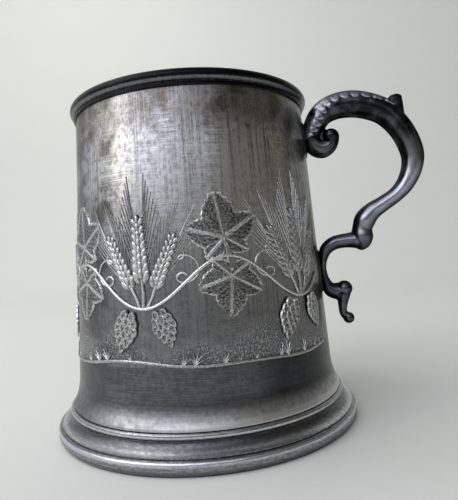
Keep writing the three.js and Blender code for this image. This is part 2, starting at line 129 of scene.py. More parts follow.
class TankardColours(bpy.types.PropertyGroup):
    """Colours of the tankard's pewter and of the stage."""

    # Also the painted highlight on the flare
    sheet_clean_and_highlight: colour_property("Clean sheet", "Rubbed places of the drum", "#d2d2d1")
    sheet_tarnish: colour_property("Tarnished sheet", "Grey tarnish over most of the drum", "#868582")
    # Also the painted shade in the band under the lip
    sheet_stain_and_shade: colour_property("Stained sheet", "Brown-black stains on the drum", "#564d42")
    # Painted shade of the lower wall; also the dark between the punched grains over the frieze's ground
    sheet_low_and_shade: colour_property("Lower sheet", "Dark wall between the frieze and the foot", "#525256")
    relief_high: colour_property("Relief high", "Rims and veins of the frieze, rubbed bright", "#d8d8d6")
    relief_low: colour_property("Relief low", "Hollows of the frieze", "#353533")
    # Also painted highlights on the foot's hollow, wire and rim
    moulding_bright_and_highlight: colour_property("Moulding bright", "Rubbed edges of lip and foot", "#d9dade")
    moulding_grey: colour_property("Moulding grey", "Grey tarnish of lip and foot", "#77787b")
    # Also painted shade on the low wall by the handle and in the foot's hollow under the collar
    moulding_black_and_shade: colour_property("Moulding black", "Black tarnish in their hollows", "#1d1d1f")
    handle_dark: colour_property("Handle dark", "Dark oxide of the casting", "#25262a")
    # Also the painted sheen on the handle's sides and leaf
    handle_worn_and_sheen: colour_property("Handle worn", "Leaf and sides worn by the hand", "#b2b6c0")
    solder_grey: colour_property("Solder", "Dull solder round the joints", "#53524f")
    board: colour_property("Board", "Painted board under and behind the tankard", "#f1f2ec")


def add_node(tree, kind, inputs=(), **settings):
    """Adds a node with its settings; inputs are values, nodes or sockets, by name or in order."""
    node = tree.nodes.new(kind)
    for name, value in settings.items():
        setattr(node, name, value)
    offered = [socket for socket in node.inputs if socket.enabled]
    for key, value in inputs.items() if isinstance(inputs, dict) else enumerate(inputs):
        socket = offered[key] if isinstance(key, int) else node.inputs[key]
        if isinstance(value, bpy.types.Node):
            value = next(output for output in value.outputs if output.enabled)
        if isinstance(value, bpy.types.NodeSocket):
            tree.links.new(value, socket)
        else:
            socket.default_value = value
    return node


# Shapes of turned, lofted and relief pieces


def drum_radius(sizes, z):
    """Outside radius of the drum at a height, with the flare at its foot."""
    slope = (sizes.base_radius - sizes.mouth_radius) / (sizes.height - sizes.drum_bottom)
    flare_top = sizes.drum_bottom + sizes.flare_height
    flare_out = sizes.drum_edge - sizes.base_radius
    rise = np.clip((flare_top - np.asarray(z, float)) / sizes.flare_height, 0, None)
    return sizes.mouth_radius + slope * (sizes.height - z) + flare_out * rise**2


def ground_line(sizes, angle):
    """Height of the frieze's wavy ground at an angle round the drum."""
    return sizes.ground_height + MM * (0.9 * np.sin(3 * angle + 0.8) + 0.5 * np.sin(7 * angle + 2))


def arc(centre, radii, start, stop, count, wear):
    """Profile rows along an arc in radius and height; angles are in degrees."""
    angles = np.radians(np.linspace(start, stop, count))
    across = centre[0] + radii[0] * np.cos(angles)
    rise = centre[1] + radii[1] * np.sin(angles)
    return [(radius, height, 0, wear) for radius, height in zip(across, rise)]


def eased(rows):
    """Rounds the profile's corners: rows are radius, height, size of the round, wear."""
    points = np.array(rows, float)
    result = []
    for i, (radius, height, ease, wear) in enumerate(points):
        here = np.array([radius, height])
        if ease <= 0:
            result.append((radius, height, wear))
            continue
        before = points[i - 1, :2] - here
        after = points[(i + 1) % len(points), :2] - here
        start = here + before / np.linalg.norm(before) * ease
        stop = here + after / np.linalg.norm(after) * ease
        for t in np.linspace(0, 1, 5):
            bend = (1 - t) ** 2 * start + 2 * t * (1 - t) * here + t**2 * stop
            result.append((*bend, wear))
    return result


def spline(rows, t):
    """Points on a smooth curve through rows of numbers, at places counted in rows."""
    rows = np.asarray(rows, float)
    last = len(rows) - 1
    first = np.clip(np.floor(t).astype(int), 0, last - 1)
    share = (np.asarray(t, float) - first)[:, None]
    p0, p1 = rows[np.maximum(first - 1, 0)], rows[first]
    p2, p3 = rows[first + 1], rows[np.minimum(first + 2, last)]
    v0, v1 = (p2 - p0) / 2, (p3 - p1) / 2
    cubic = (2 * p1 - 2 * p2 + v0 + v1) * share**3
    return cubic + (-3 * p1 + 3 * p2 - 2 * v0 - v1) * share**2 + v0 * share + p1


def tube(centres, outward, across, thick, wide, sides):
    """A closed tube with oval sections; returns vertices, faces and how far each vertex faces across."""
    angles = 2 * np.pi * np.arange(sides) / sides
    lift = np.asarray(thick)[:, None, None] * np.cos(angles)[None, :, None] * outward[:, None, :]
    side = np.asarray(wide)[:, None, None] * np.sin(angles)[None, :, None] * across[:, None, :]
    rings = centres[:, None, :] + lift + side
    count = len(centres)
    points = np.vstack([rings.reshape(-1, 3), centres[:1], centres[-1:]])
    facing = np.concatenate([np.tile(np.sin(angles), count), [0, 0]])
    faces = []
    last = (count - 1) * sides
    start_pole, end_pole = count * sides, count * sides + 1
    for j in range(sides):
        k = (j + 1) % sides
        for ring in range(0, last, sides):
            faces.append((ring + j, ring + k, ring + sides + k, ring + sides + j))
        faces.append((start_pole, k, j))
        faces.append((end_pole, last + j, last + k))
    return points, faces, facing


def relief_patch(outline, centre, shares, heights, worn):
    """A raised patch in the frieze's flat plane: rings drawn in from an outline, closed behind."""
    outline, centre = np.asarray(outline, float), np.asarray(centre, float)
    count = len(outline)
    points = [(*centre, float(np.mean(heights[0])))]
    wear = [float(np.mean(worn[0]))]
    for share, height, rub in zip(shares, heights, worn):
        flat = centre + share * (outline - centre)
        points += [(x, y, h) for (x, y), h in zip(flat, np.broadcast_to(height, count))]
        wear += list(np.broadcast_to(rub, count))
    points.append((*centre, float(np.min(heights[-1]))))
    wear.append(0.0)
    last = 1 + (len(shares) - 1) * count
    faces = []
    for j in range(count):
        k = (j + 1) % count
        faces.append((0, 1 + j, 1 + k))
        for i in range(len(shares) - 1):
            a, b = 1 + i * count, 1 + (i + 1) * count
            faces.append((a + j, b + j, b + k, a + k))
        faces.append((len(points) - 1, last + k, last + j))
    return np.array(points), faces, np.array(wear)


def joined(parts):
    """Joins vertices, faces and wear of several parts into one set."""
    points, faces, wear, start = [], [], [], 0
    for part_points, part_faces, part_wear in parts:
        points.append(part_points)
        wear.append(part_wear)
        faces += [tuple(start + i for i in face) for face in part_faces]
        start += len(part_points)
    return np.vstack(points), faces, np.concatenate(wear)


def placed(part, x, y, turn=0.0, size=1.0, lift=0.0):
    """A flat part scaled, turned about its own origin and moved in the frieze's plane."""
    points, faces, wear = part
    c, s = math.cos(turn) * size, math.sin(turn) * size
    along = c * points[:, 0] - s * points[:, 1] + x
    up = s * points[:, 0] + c * points[:, 1] + y
    return np.column_stack([along, up, points[:, 2] + lift]), faces, wear


def mark_points(mesh, name, values):
    """Writes one number for each point, for a tree or a material to read."""
    layer = mesh.attributes.new(name, "FLOAT", "POINT")
    layer.data.foreach_set("value", np.asarray(values, np.float32))


def new_object(name, points, faces, wear=None, edges=()):
    """A mesh object in the scene, with the wear of its points if that is given."""
    mesh = bpy.data.meshes.new(name)
    mesh.from_pydata([tuple(p) for p in points], list(edges), list(faces))
    # The wear attribute also carries painted highlights, shade and sheen on the foot, the handle and its leaf
    if wear is not None:
        mark_points(mesh, "wear", wear)
    piece = bpy.data.objects.new(name, mesh)
    bpy.context.scene.collection.objects.link(piece)
    return piece


def settled(piece):
    """Turns a piece's modifiers into a plain mesh."""
    graph = bpy.context.evaluated_depsgraph_get()
    rough = piece.data
    piece.data = bpy.data.meshes.new_from_object(
        piece.evaluated_get(graph), preserve_all_data_layers=True, depsgraph=graph
    )
    piece.modifiers.clear()
    name = rough.name
    bpy.data.meshes.remove(rough)
    piece.data.name = name
    return piece


def vertices_of(mesh):
    """A mesh's points as rows of X, Y and Z."""
    points = np.empty(len(mesh.vertices) * 3, np.float32)
    mesh.vertices.foreach_get("co", points)
    return points.reshape(-1, 3).astype(float)


def outward_faces(piece):
    """Makes a closed piece's faces point outwards, by the sign of the volume that they enclose."""
    mesh = piece.data
    mesh.calc_loop_triangles()
    corners = np.empty(len(mesh.loop_triangles) * 3, np.int32)
    mesh.loop_triangles.foreach_get("vertices", corners)
    a, b, c = vertices_of(mesh)[corners.reshape(-1, 3)].transpose(1, 0, 2)
    if np.einsum("ij,ij->", a, np.cross(b, c)) < 0:
        mesh.flip_normals()
    return piece


def finished(piece, nodes=(), sharp=math.radians(50)):
    """Shades a piece, sets it on the tankard's body and hides the solids that it stands for."""
    piece.data.shade_smooth()
    piece.data.set_sharp_from_angle(angle=sharp)
    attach(piece, "root")
    if nodes:
        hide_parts(*nodes)
    return piece


# Geometry Nodes trees


def new_tree(name, sockets):
    """A Geometry Nodes tree, and the sockets that give its inputs."""
    tree = bpy.data.node_groups.new(name, "GeometryNodeTree")
    for socket_name, kind in sockets:
        tree.interface.new_socket(name=socket_name, in_out="INPUT", socket_type=kind)
    tree.interface.new_socket(name="Geometry", in_out="OUTPUT", socket_type="NodeSocketGeometry")
    return tree, add_node(tree, "NodeGroupInput").outputs


def with_tree(piece, tree, values):
    """Gives a piece a Geometry Nodes modifier, sets its inputs by identifier and applies it."""
    modifier = piece.modifiers.new(tree.name, "NODES")
    modifier.node_group = tree
    for item in tree.interface.items_tree:
        if item.item_type == "SOCKET" and item.in_out == "INPUT" and item.name in values:
            modifier[item.identifier] = values[item.name]
    return settled(piece)


def turning_tree():
    """Sweeps a profile of radius and height round the tankard's axis, as a lathe does."""
    existing = bpy.data.node_groups.get("turning")
    if existing:
        return existing
    tree, given = new_tree(
        "turning",
        [
            ("Profile", "NodeSocketGeometry"),
            ("Segments", "NodeSocketInt"),
            ("Axis X", "NodeSocketFloat"),
            ("Pewter", "NodeSocketMaterial"),
        ],
    )
    guide_radius = 10 * MM
    seam = 0.002 * MM
    line = add_node(tree, "GeometryNodeMeshToCurve", {"Mesh": given["Profile"]})
    inset = add_node(tree, "GeometryNodeTransform", {"Geometry": line, "Translation": (-guide_radius, 0, 0)})
    ring = {"Resolution": given["Segments"], "Radius": guide_radius}
    guide = add_node(tree, "GeometryNodeCurvePrimitiveCircle", ring)
    swept = add_node(tree, "GeometryNodeCurveToMesh", {"Curve": guide, "Profile Curve": inset})
    sealed = add_node(tree, "GeometryNodeMergeByDistance", {"Geometry": swept, "Distance": seam})
    offset = add_node(tree, "ShaderNodeCombineXYZ", {"X": given["Axis X"]})
    moved = add_node(tree, "GeometryNodeTransform", {"Geometry": sealed, "Translation": offset})
    real = add_node(tree, "GeometryNodeRealizeInstances", {"Geometry": moved})
    dressed = add_node(tree, "GeometryNodeSetMaterial", {"Geometry": real, "Material": given["Pewter"]})
    add_node(tree, "NodeGroupOutput", [dressed])
    return tree


def turned_piece(name, profile, sizes, material, wear=None, closed=True):
    """A ring or plate turned from a profile of radius and height."""
    points = [(radius, -height, 0) for radius, height in profile]
    edges = [(i, i + 1) for i in range(len(points) - 1)]
    if closed:
        edges.append((len(points) - 1, 0))
    piece = new_object(name, points, [], wear, edges)
    values = {"Segments": sizes.segments, "Axis X": AXIS_X, "Pewter": material}
    return outward_faces(with_tree(piece, turning_tree(), values))


def frieze_tree(motifs):
    """Sets motifs on marked points, keeps the stems, and wraps the flat panel on the drum's wall."""
    measures = ("Axis X", "Mouth radius", "Height", "Slope", "Unrolled radius", "Start angle")
    sockets = [("Panel", "NodeSocketGeometry")]
    sockets += [(name, "NodeSocketObject") for name in motifs]
    sockets += [(name, "NodeSocketFloat") for name in measures]
    tree, given = new_tree("frieze", sockets + [("Pewter", "NodeSocketMaterial")])

    kind, turn, size = (
        add_node(tree, "GeometryNodeInputNamedAttribute", {"Name": name}, data_type="FLOAT")
        for name in ("kind", "turn", "size")
    )
    is_motif = add_node(tree, "ShaderNodeMath", [kind, 0.5], operation="GREATER_THAN")
    marked = {"Geometry": given["Panel"], "Selection": is_motif}
    stems = add_node(tree, "GeometryNodeDeleteGeometry", marked, domain="POINT")
    upright = add_node(tree, "ShaderNodeCombineXYZ", {"Z": turn})
    turned = add_node(tree, "FunctionNodeEulerToRotation", [upright])
    together = add_node(tree, "GeometryNodeJoinGeometry", [stems])
    for number, name in enumerate(motifs, 1):
        motif = add_node(tree, "GeometryNodeObjectInfo", {"Object": given[name]})
        chosen = add_node(tree, "ShaderNodeMath", [kind, float(number), 0.25], operation="COMPARE")
        copies = {
            "Points": given["Panel"],
            "Selection": chosen,
            "Instance": motif.outputs["Geometry"],
            "Rotation": turned,
            "Scale": size,
        }
        spread = add_node(tree, "GeometryNodeInstanceOnPoints", copies)
        tree.links.new(spread.outputs[0], together.inputs[0])
    real = add_node(tree, "GeometryNodeRealizeInstances", [together])
    flat = add_node(tree, "ShaderNodeSeparateXYZ", [add_node(tree, "GeometryNodeInputPosition")]).outputs
    turned_by = add_node(tree, "ShaderNodeMath", [flat["X"], given["Unrolled radius"]], operation="DIVIDE")
    angle = add_node(tree, "ShaderNodeMath", [turned_by, given["Start angle"]], operation="ADD")
    fall = add_node(tree, "ShaderNodeMath", [given["Height"], flat["Y"]], operation="SUBTRACT")
    taper = [fall, given["Slope"], given["Mouth radius"]]
    wall = add_node(tree, "ShaderNodeMath", taper, operation="MULTIPLY_ADD")
    radius = add_node(tree, "ShaderNodeMath", [wall, flat["Z"]], operation="ADD")
    cosine = add_node(tree, "ShaderNodeMath", [angle], operation="COSINE")
    sine = add_node(tree, "ShaderNodeMath", [angle], operation="SINE")
    east = add_node(tree, "ShaderNodeMath", [radius, cosine, given["Axis X"]], operation="MULTIPLY_ADD")
    north = add_node(tree, "ShaderNodeMath", [radius, sine], operation="MULTIPLY")
    wrapped = add_node(tree, "ShaderNodeCombineXYZ", [east, north, flat["Y"]])
    bent = add_node(tree, "GeometryNodeSetPosition", {"Geometry": real, "Position": wrapped})
    dressed = add_node(tree, "GeometryNodeSetMaterial", {"Geometry": bent, "Material": given["Pewter"]})
    add_node(tree, "NodeGroupOutput", [dressed])
    return tree


# Materials


def new_material(name):
    """A material whose node tree is still empty."""
    material = bpy.data.materials.new(name)
    material.use_nodes = True
    material.node_tree.nodes.clear()
    return material, material.node_tree


def unrolled(tree, sizes):
    """Object coordinates unrolled round the axis, in millimetres: both in one vector, along the wall, up."""
    place = add_node(tree, "ShaderNodeSeparateXYZ", [add_node(tree, "ShaderNodeTexCoord").outputs["Object"]])
    west = add_node(tree, "ShaderNodeMath", [AXIS_X, place.outputs["X"]], operation="SUBTRACT")
    angle = add_node(tree, "ShaderNodeMath", [place.outputs["Y"], west], operation="ARCTAN2")
    along = add_node(tree, "ShaderNodeMath", [angle, sizes.mouth_radius / MM], operation="MULTIPLY")
    up = add_node(tree, "ShaderNodeMath", [place.outputs["Z"], 1 / MM], operation="MULTIPLY")
    return add_node(tree, "ShaderNodeCombineXYZ", [along, up]), along, up


def sheet_marks(tree, place):
    """Noises for the sheet's scratches, clouds and grains, by name."""
    # Widths and heights of the marks in millimetres, detail and roughness of their edges, and a number that
    # picks their layout. The real scratches are 0.1 mm wide, drawn four times as wide so that they show
    marks = {}
    for mark, (across, tall, detail, ragged, layout) in {
        "upright": (0.4, 34, 2, 0.5, 0),
        "level": (11, 0.36, 2, 0.5, 0),
        "mottle": (1.6, 2.0, 7, 0.72, 0),
        "patches": (12, 14, 6, 0.66, 13),
        "rubbing": (9, 26, 3, 0.5, 0),
        "hairlines": (0.42, 60, 1, 0.5, 0),
        "turf": (0.42, 0.7, 2, 0.6, 0),
    }.items():
        spread = {"Vector": place, "Location": (0, 0, layout), "Scale": (1 / across, 1 / tall, 1)}
        stretched = add_node(tree, "ShaderNodeMapping", spread)
        noise = {"Vector": stretched, "Scale": 1.0, "Detail": detail, "Roughness": ragged}
        marks[mark] = add_node(tree, "ShaderNodeTexNoise", noise)
    return marks


def tarnish_stains_and_shade(tree, marks, cloudy, aside, up, colours):
    """Tarnish and stains of the wall, barer towards the handle, with painted shade beside it."""
    # Towards the handle and below the lip the sheet is drawn barer and less stained; beside the handle,
    # painted shade
    towards_handle = add_node(tree, "ShaderNodeMapRange", [aside, 45, 95, 0.3, 1], **SOFT)
    below_lip = add_node(tree, "ShaderNodeMapRange", [up, 100, 84, 0, 1], **SOFT)
    shade_beside_handle = add_node(tree, "ShaderNodeMapRange", [aside, 116, 103, -0.9, 1], **SOFT)
    rubbed = add_node(tree, "ShaderNodeMath", [towards_handle, below_lip], operation="MULTIPLY")
    barer_share = add_node(tree, "ShaderNodeMath", [rubbed, shade_beside_handle], operation="MULTIPLY")
    bare = add_node(tree, "ShaderNodeMapRange", [cloudy, 0.41, 0.58, 0, 0.9], **SOFT)
    barer = add_node(tree, "ShaderNodeMath", [barer_share, 0.32, bare], operation="MULTIPLY_ADD", use_clamp=True)
    tarnished = add_node(
        tree, "ShaderNodeMix", [barer, colours.sheet_tarnish, colours.sheet_clean_and_highlight], data_type="RGBA"
    )
    speckled = [marks["mottle"], 0.5, marks["patches"]]
    blotchy = add_node(tree, "ShaderNodeMath", speckled, operation="MULTIPLY_ADD")
    # Stains are heavier on the far side: partly stains, partly painted shade
    far_side = add_node(tree, "ShaderNodeMapRange", [aside, 55, 41, 0, 0.08], **SOFT)
    leaning = add_node(tree, "ShaderNodeMath", [blotchy, far_side], operation="ADD")
    stain_amount = add_node(tree, "ShaderNodeMath", [barer_share, -0.13, leaning], operation="MULTIPLY_ADD")
    stain = add_node(tree, "ShaderNodeMapRange", [stain_amount, 0.73, 0.88, 0, 0.85], **SOFT)
    stained = add_node(tree, "ShaderNodeMix", [stain, tarnished, colours.sheet_stain_and_shade], data_type="RGBA")
    return stained, towards_handle


def flare_with_highlight(tree, marks, aside, up):
    """Where the drum flares out, and its painted highlight, partly polish, weakest away from the handle."""
    flare = add_node(tree, "ShaderNodeMapRange", [up, 17.2, 11.8, 0, 1], **SOFT)
    polish_and_sheen = add_node(tree, "ShaderNodeMapRange", [marks["mottle"], 0.3, 0.7, 0.42, 0.9], **SOFT)
    highlight_towards_handle = add_node(tree, "ShaderNodeMapRange", [aside, 32, 54, 0.15, 1], **SOFT)
    # Painted highlight: a bright line along the flare's lower edge, on the near side
    edge = add_node(tree, "ShaderNodeMapRange", [up, 12.8, 11.2, 0, 0.5], **SOFT)
    edge_highlight_side = add_node(tree, "ShaderNodeMapRange", [aside, 56, 76, 0, 1], **SOFT)
    wiped = add_node(tree, "ShaderNodeMath", [polish_and_sheen, highlight_towards_handle], operation="MULTIPLY")
    edge_highlight_terms = [edge, edge_highlight_side, wiped]
    polished = add_node(tree, "ShaderNodeMath", edge_highlight_terms, operation="MULTIPLY_ADD", use_clamp=True)
    flare_polish_and_highlight = add_node(tree, "ShaderNodeMath", [flare, polished], operation="MULTIPLY")
    return flare, flare_polish_and_highlight


def sheet_material(name, sizes, colours):
    """Rolled pewter sheet, rubbed down by hand: satin with fine scratches, cloudy tarnish, dark stains, and
    painted shade and highlights.

    Heights up the wall and distances round it are in millimetres. Each Map Range lists where a tone
    starts and stops, and its strength at these two places.
    """
    material, tree = new_material(name)
    place, along, up = unrolled(tree, sizes)
    # Distance round the wall from the side away from the handle, alike on both sides of it
    aside = add_node(tree, "ShaderNodeMath", [along], operation="ABSOLUTE")
    ground = sizes.ground_height / MM
    marks = sheet_marks(tree, place)
    below = add_node(tree, "ShaderNodeMapRange", [up, ground + 0.6, ground - 1, 0, 1], **SOFT)
    turf = add_node(tree, "ShaderNodeAttribute", attribute_name="turf").outputs["Fac"]
    # Upright scratches show where the sheet was rubbed last, level ones below the frieze and here and there
    rubbed_last = add_node(tree, "ShaderNodeMapRange", [marks["rubbing"], 0.42, 0.58, 0.3, 0.9], **SOFT)
    lie = add_node(tree, "ShaderNodeMath", [rubbed_last, below], operation="SUBTRACT", use_clamp=True)
    scratch = add_node(tree, "ShaderNodeMix", [lie, marks["level"], marks["upright"]])
    fine = add_node(tree, "ShaderNodeMath", [scratch, 0.42], operation="MULTIPLY")
    cloudy = add_node(tree, "ShaderNodeMath", [marks["mottle"], 0.58, fine], operation="MULTIPLY_ADD")
    stained, towards_handle = tarnish_stains_and_shade(tree, marks, cloudy, aside, up, colours)
    # Scratches show bright through the stains and dark on the clean sheet; painted shade darkens a band under
    # the lip
    # The scratch lines are drawn stronger towards the handle: real scratches, partly painted glints
    scratch_and_glint_strength = add_node(tree, "ShaderNodeMath", [lie, towards_handle], operation="MULTIPLY")
    hair = add_node(tree, "ShaderNodeMapRange", [marks["hairlines"], 0.5, 0.64, 0, 0.7], **SOFT)
    hair_here = add_node(tree, "ShaderNodeMath", [hair, scratch_and_glint_strength], operation="MULTIPLY")
    lined = add_node(tree, "ShaderNodeMix", [hair_here, stained, colours.sheet_clean_and_highlight], data_type="RGBA")
    groove = add_node(tree, "ShaderNodeMapRange", [marks["upright"], 0.45, 0.33, 0, 0.45], **SOFT)
    groove_here = add_node(tree, "ShaderNodeMath", [groove, scratch_and_glint_strength], operation="MULTIPLY")
    grooved = add_node(tree, "ShaderNodeMix", [groove_here, lined, colours.sheet_stain_and_shade], data_type="RGBA")
    # Painted shade: a band under the lip with a wavy lower edge, strongest on the far side and again towards
    # the handle
    wavy = add_node(tree, "ShaderNodeMath", [marks["patches"], 14, up], operation="MULTIPLY_ADD")
    dull = add_node(tree, "ShaderNodeMapRange", [wavy, 102, 109, 0, 1], **SOFT)
    lip_shade_far = add_node(tree, "ShaderNodeMapRange", [aside, 54, 42, 0.18, 0.5], **SOFT)
    lip_shade_near = add_node(tree, "ShaderNodeMapRange", [aside, 66, 80, 0, 0.32], **SOFT)
    lip_shade_strength = add_node(tree, "ShaderNodeMath", [lip_shade_far, lip_shade_near], operation="ADD")
    lip_shade_here = add_node(tree, "ShaderNodeMath", [dull, lip_shade_strength], operation="MULTIPLY")
    lip_shaded = add_node(tree, "ShaderNodeMix", [lip_shade_here, grooved, colours.sheet_stain_and_shade], data_type="RGBA")
    # Painted shade: the ground of the frieze and the wall below it are drawn darker, from higher up on the
    # far side
    climb = add_node(tree, "ShaderNodeMapRange", [aside, 48, 84, -9, 7], **SOFT)
    climbing = add_node(tree, "ShaderNodeMath", [up, climb], operation="ADD")
    painted_low_shade = add_node(tree, "ShaderNodeMapRange", [climbing, 80, 44, 0, 0.74], **SOFT)
    shaded = add_node(tree, "ShaderNodeMix", [painted_low_shade, lip_shaded, colours.sheet_low_and_shade], data_type="RGBA")
    # Painted shade: below the ground line the wall is drawn darker again, in streaks
    streaky = add_node(tree, "ShaderNodeMapRange", [cloudy, 0.36, 0.62, 0.95, 0.55], **SOFT)
    dark = add_node(tree, "ShaderNodeMath", [below, streaky], operation="MULTIPLY")
    low_wall = add_node(tree, "ShaderNodeMix", [dark, shaded, colours.sheet_low_and_shade], data_type="RGBA")
    # Painted shade: towards the handle the low wall is drawn black; a painted highlight, partly polish,
    # brightens the flare below it
    shade_towards_handle_share = add_node(tree, "ShaderNodeMapRange", [aside, 84, 98, 0, 0.7], **SOFT)
    shade_towards_handle_here = add_node(tree, "ShaderNodeMath", [below, shade_towards_handle_share], operation="MULTIPLY")
    # The painted shade is mixed towards the moulding black
    oxide = [shade_towards_handle_here, low_wall, colours.moulding_black_and_shade]
    shaded_towards_handle = add_node(tree, "ShaderNodeMix", oxide, data_type="RGBA")
    # Painted highlight on the flare, partly polish
    flare, flare_polish_and_highlight = flare_with_highlight(tree, marks, aside, up)
    flared = add_node(tree, "ShaderNodeMix", [flare_polish_and_highlight, shaded_towards_handle, colours.sheet_clean_and_highlight], data_type="RGBA")
    # Punched grains over the frieze's ground
    dots = add_node(tree, "ShaderNodeMapRange", [marks["turf"], 0.45, 0.62, 0, 1], **SOFT)
    punched = [dots, colours.sheet_low_and_shade, colours.relief_high]
    stipple = add_node(tree, "ShaderNodeMix", punched, data_type="RGBA")
    dotted = add_node(tree, "ShaderNodeMath", [turf, 0.5], operation="MULTIPLY")
    colour = add_node(tree, "ShaderNodeMix", [dotted, flared, stipple], data_type="RGBA")
    satin = add_node(tree, "ShaderNodeMapRange", [marks["mottle"], 0.3, 0.7, 0.38, 0.26], **SOFT)
    rough = add_node(tree, "ShaderNodeMath", [flare, 0.12, satin], operation="MULTIPLY_ADD")
    scratches = add_node(tree, "ShaderNodeBump", {"Height": scratch, "Strength": 0.5, "Distance": 0.08 * MM})
    grains = add_node(tree, "ShaderNodeMath", [dots, turf], operation="MULTIPLY")
    pitted = {"Height": grains, "Strength": 0.9, "Distance": 0.3 * MM, "Normal": scratches}
    grainy = add_node(tree, "ShaderNodeBump", pitted)
    surface = {"Metallic": 1.0, "Base Color": colour, "Roughness": rough, "Normal": grainy}
    shader = add_node(tree, "ShaderNodeBsdfPrincipled", surface)
    add_node(tree, "ShaderNodeOutputMaterial", [shader])
    return material


def floor_material(name, colours):
    """Spun pewter sheet: fine rings from the spinning tool, under grey stains left by drink."""
    material, tree = new_material(name)
    place = add_node(tree, "ShaderNodeTexCoord").outputs["Object"]
    centred = add_node(tree, "ShaderNodeVectorMath", [place, (AXIS_X, 0, 0)], operation="SUBTRACT")
    flat = add_node(tree, "ShaderNodeVectorMath", [centred, (1, 1, 0)], operation="MULTIPLY")
    radius = add_node(tree, "ShaderNodeVectorMath", [flat], operation="LENGTH").outputs["Value"]
    # Rings 0.8 mm apart, and stains about 9 mm across
    turns = add_node(tree, "ShaderNodeMath", [radius, 1 / (0.8 * MM)], operation="MULTIPLY")
    rings = add_node(tree, "ShaderNodeTexNoise", {"Vector": add_node(tree, "ShaderNodeCombineXYZ", [turns])})
    stains = add_node(tree, "ShaderNodeTexNoise", {"Vector": place, "Scale": 1 / (9 * MM), "Detail": 6.0})
    ringed = add_node(tree, "ShaderNodeMath", [rings, 0.35, stains], operation="MULTIPLY_ADD")
    share = add_node(tree, "ShaderNodeMapRange", [ringed, 0.5, 0.9, 0.1, 0.9], **SOFT)
    greys = [share, colours.sheet_tarnish, colours.sheet_stain_and_shade]
    colour = add_node(tree, "ShaderNodeMix", greys, data_type="RGBA")
    rough = add_node(tree, "ShaderNodeMapRange", [stains, 0.3, 0.7, 0.42, 0.3], **SOFT)
    lines = add_node(tree, "ShaderNodeBump", {"Height": rings, "Strength": 0.3, "Distance": 0.06 * MM})
    surface = {"Metallic": 1.0, "Base Color": colour, "Roughness": rough, "Normal": lines}
    shader = add_node(tree, "ShaderNodeBsdfPrincipled", surface)
    add_node(tree, "ShaderNodeOutputMaterial", [shader])
    return material


def relief_material(name, sizes, colours):
    """Cast pewter relief, rubbed: rims and veins shine, the rest is stippled grey over dark hollows."""
    material, tree = new_material(name)
    place, _, _ = unrolled(tree, sizes)
    # Punch marks of 0.4 mm, drawn half as large again so that they show
    stipple = add_node(tree, "ShaderNodeTexNoise", {"Vector": place, "Scale": 1 / 0.6, "Detail": 2.0})
    mottle = add_node(tree, "ShaderNodeTexNoise", {"Vector": place, "Scale": 1 / 5, "Detail": 4.0})
    wear = add_node(tree, "ShaderNodeAttribute", attribute_name="wear").outputs["Fac"]
    dots = add_node(tree, "ShaderNodeMapRange", [stipple, 0.38, 0.64, -0.12, 0.3], **SOFT)
    patchy = add_node(tree, "ShaderNodeMath", [mottle, 0.3, dots], operation="MULTIPLY_ADD")
    rub = add_node(tree, "ShaderNodeMath", [wear, patchy], operation="ADD")
    bright = add_node(tree, "ShaderNodeMapRange", [rub, 0.12, 1.15, 0, 1])
    greys = [bright, colours.relief_low, colours.relief_high]
    colour = add_node(tree, "ShaderNodeMix", greys, data_type="RGBA")
    rough = add_node(tree, "ShaderNodeMapRange", [rub, 0.2, 1.0, 0.44, 0.27], **SOFT)
    pits = add_node(tree, "ShaderNodeBump", {"Height": stipple, "Strength": 0.5, "Distance": 0.15 * MM})
    surface = {"Metallic": 1.0, "Base Color": colour, "Roughness": rough, "Normal": pits}
    shader = add_node(tree, "ShaderNodeBsdfPrincipled", surface)
    add_node(tree, "ShaderNodeOutputMaterial", [shader])
    return material


def moulding_material(name, sizes, colours):
    """Turned pewter: fine rings from the lathe, bright on worn edges and painted highlights, grey to black in
    the hollows and painted shade.
    """
    material, tree = new_material(name)
    place, _, _ = unrolled(tree, sizes)
    # Tool rings lie 0.15 mm apart, drawn twice as wide so that they show
    rings_at = add_node(tree, "ShaderNodeMapping", {"Vector": place, "Scale": (1 / 60, 1 / 0.3, 1)})
    rings = add_node(tree, "ShaderNodeTexNoise", {"Vector": rings_at, "Scale": 1.0, "Detail": 2.0})
    mottle_at = add_node(tree, "ShaderNodeMapping", {"Vector": place, "Scale": (1 / 1.4, 1 / 0.7, 1)})
    cloudy = {"Vector": mottle_at, "Scale": 1.0, "Detail": 7.0, "Roughness": 0.72}
    mottle = add_node(tree, "ShaderNodeTexNoise", cloudy)
    wear = add_node(tree, "ShaderNodeAttribute", attribute_name="wear").outputs["Fac"]
    blotch = add_node(tree, "ShaderNodeMapRange", [mottle, 0.35, 0.65, -0.18, 0.18], **SOFT)
    rub = add_node(tree, "ShaderNodeMath", [wear, blotch], operation="ADD")
    black = add_node(tree, "ShaderNodeMapRange", [rub, -1, 0, 0, 1])
    bright = add_node(tree, "ShaderNodeMapRange", [rub, 0, 1, 0, 1])
    greys = [black, colours.moulding_black_and_shade, colours.moulding_grey]
    dull = add_node(tree, "ShaderNodeMix", greys, data_type="RGBA")
    colour = add_node(tree, "ShaderNodeMix", [bright, dull, colours.moulding_bright_and_highlight], data_type="RGBA")
    rough = add_node(tree, "ShaderNodeMapRange", [mottle, 0.3, 0.7, 0.36, 0.23], **SOFT)
    lines = add_node(tree, "ShaderNodeBump", {"Height": rings, "Strength": 0.15, "Distance": 0.05 * MM})
    surface = {"Metallic": 1.0, "Base Color": colour, "Roughness": rough, "Normal": lines}
    shader = add_node(tree, "ShaderNodeBsdfPrincipled", surface)
    add_node(tree, "ShaderNodeOutputMaterial", [shader])
    return material


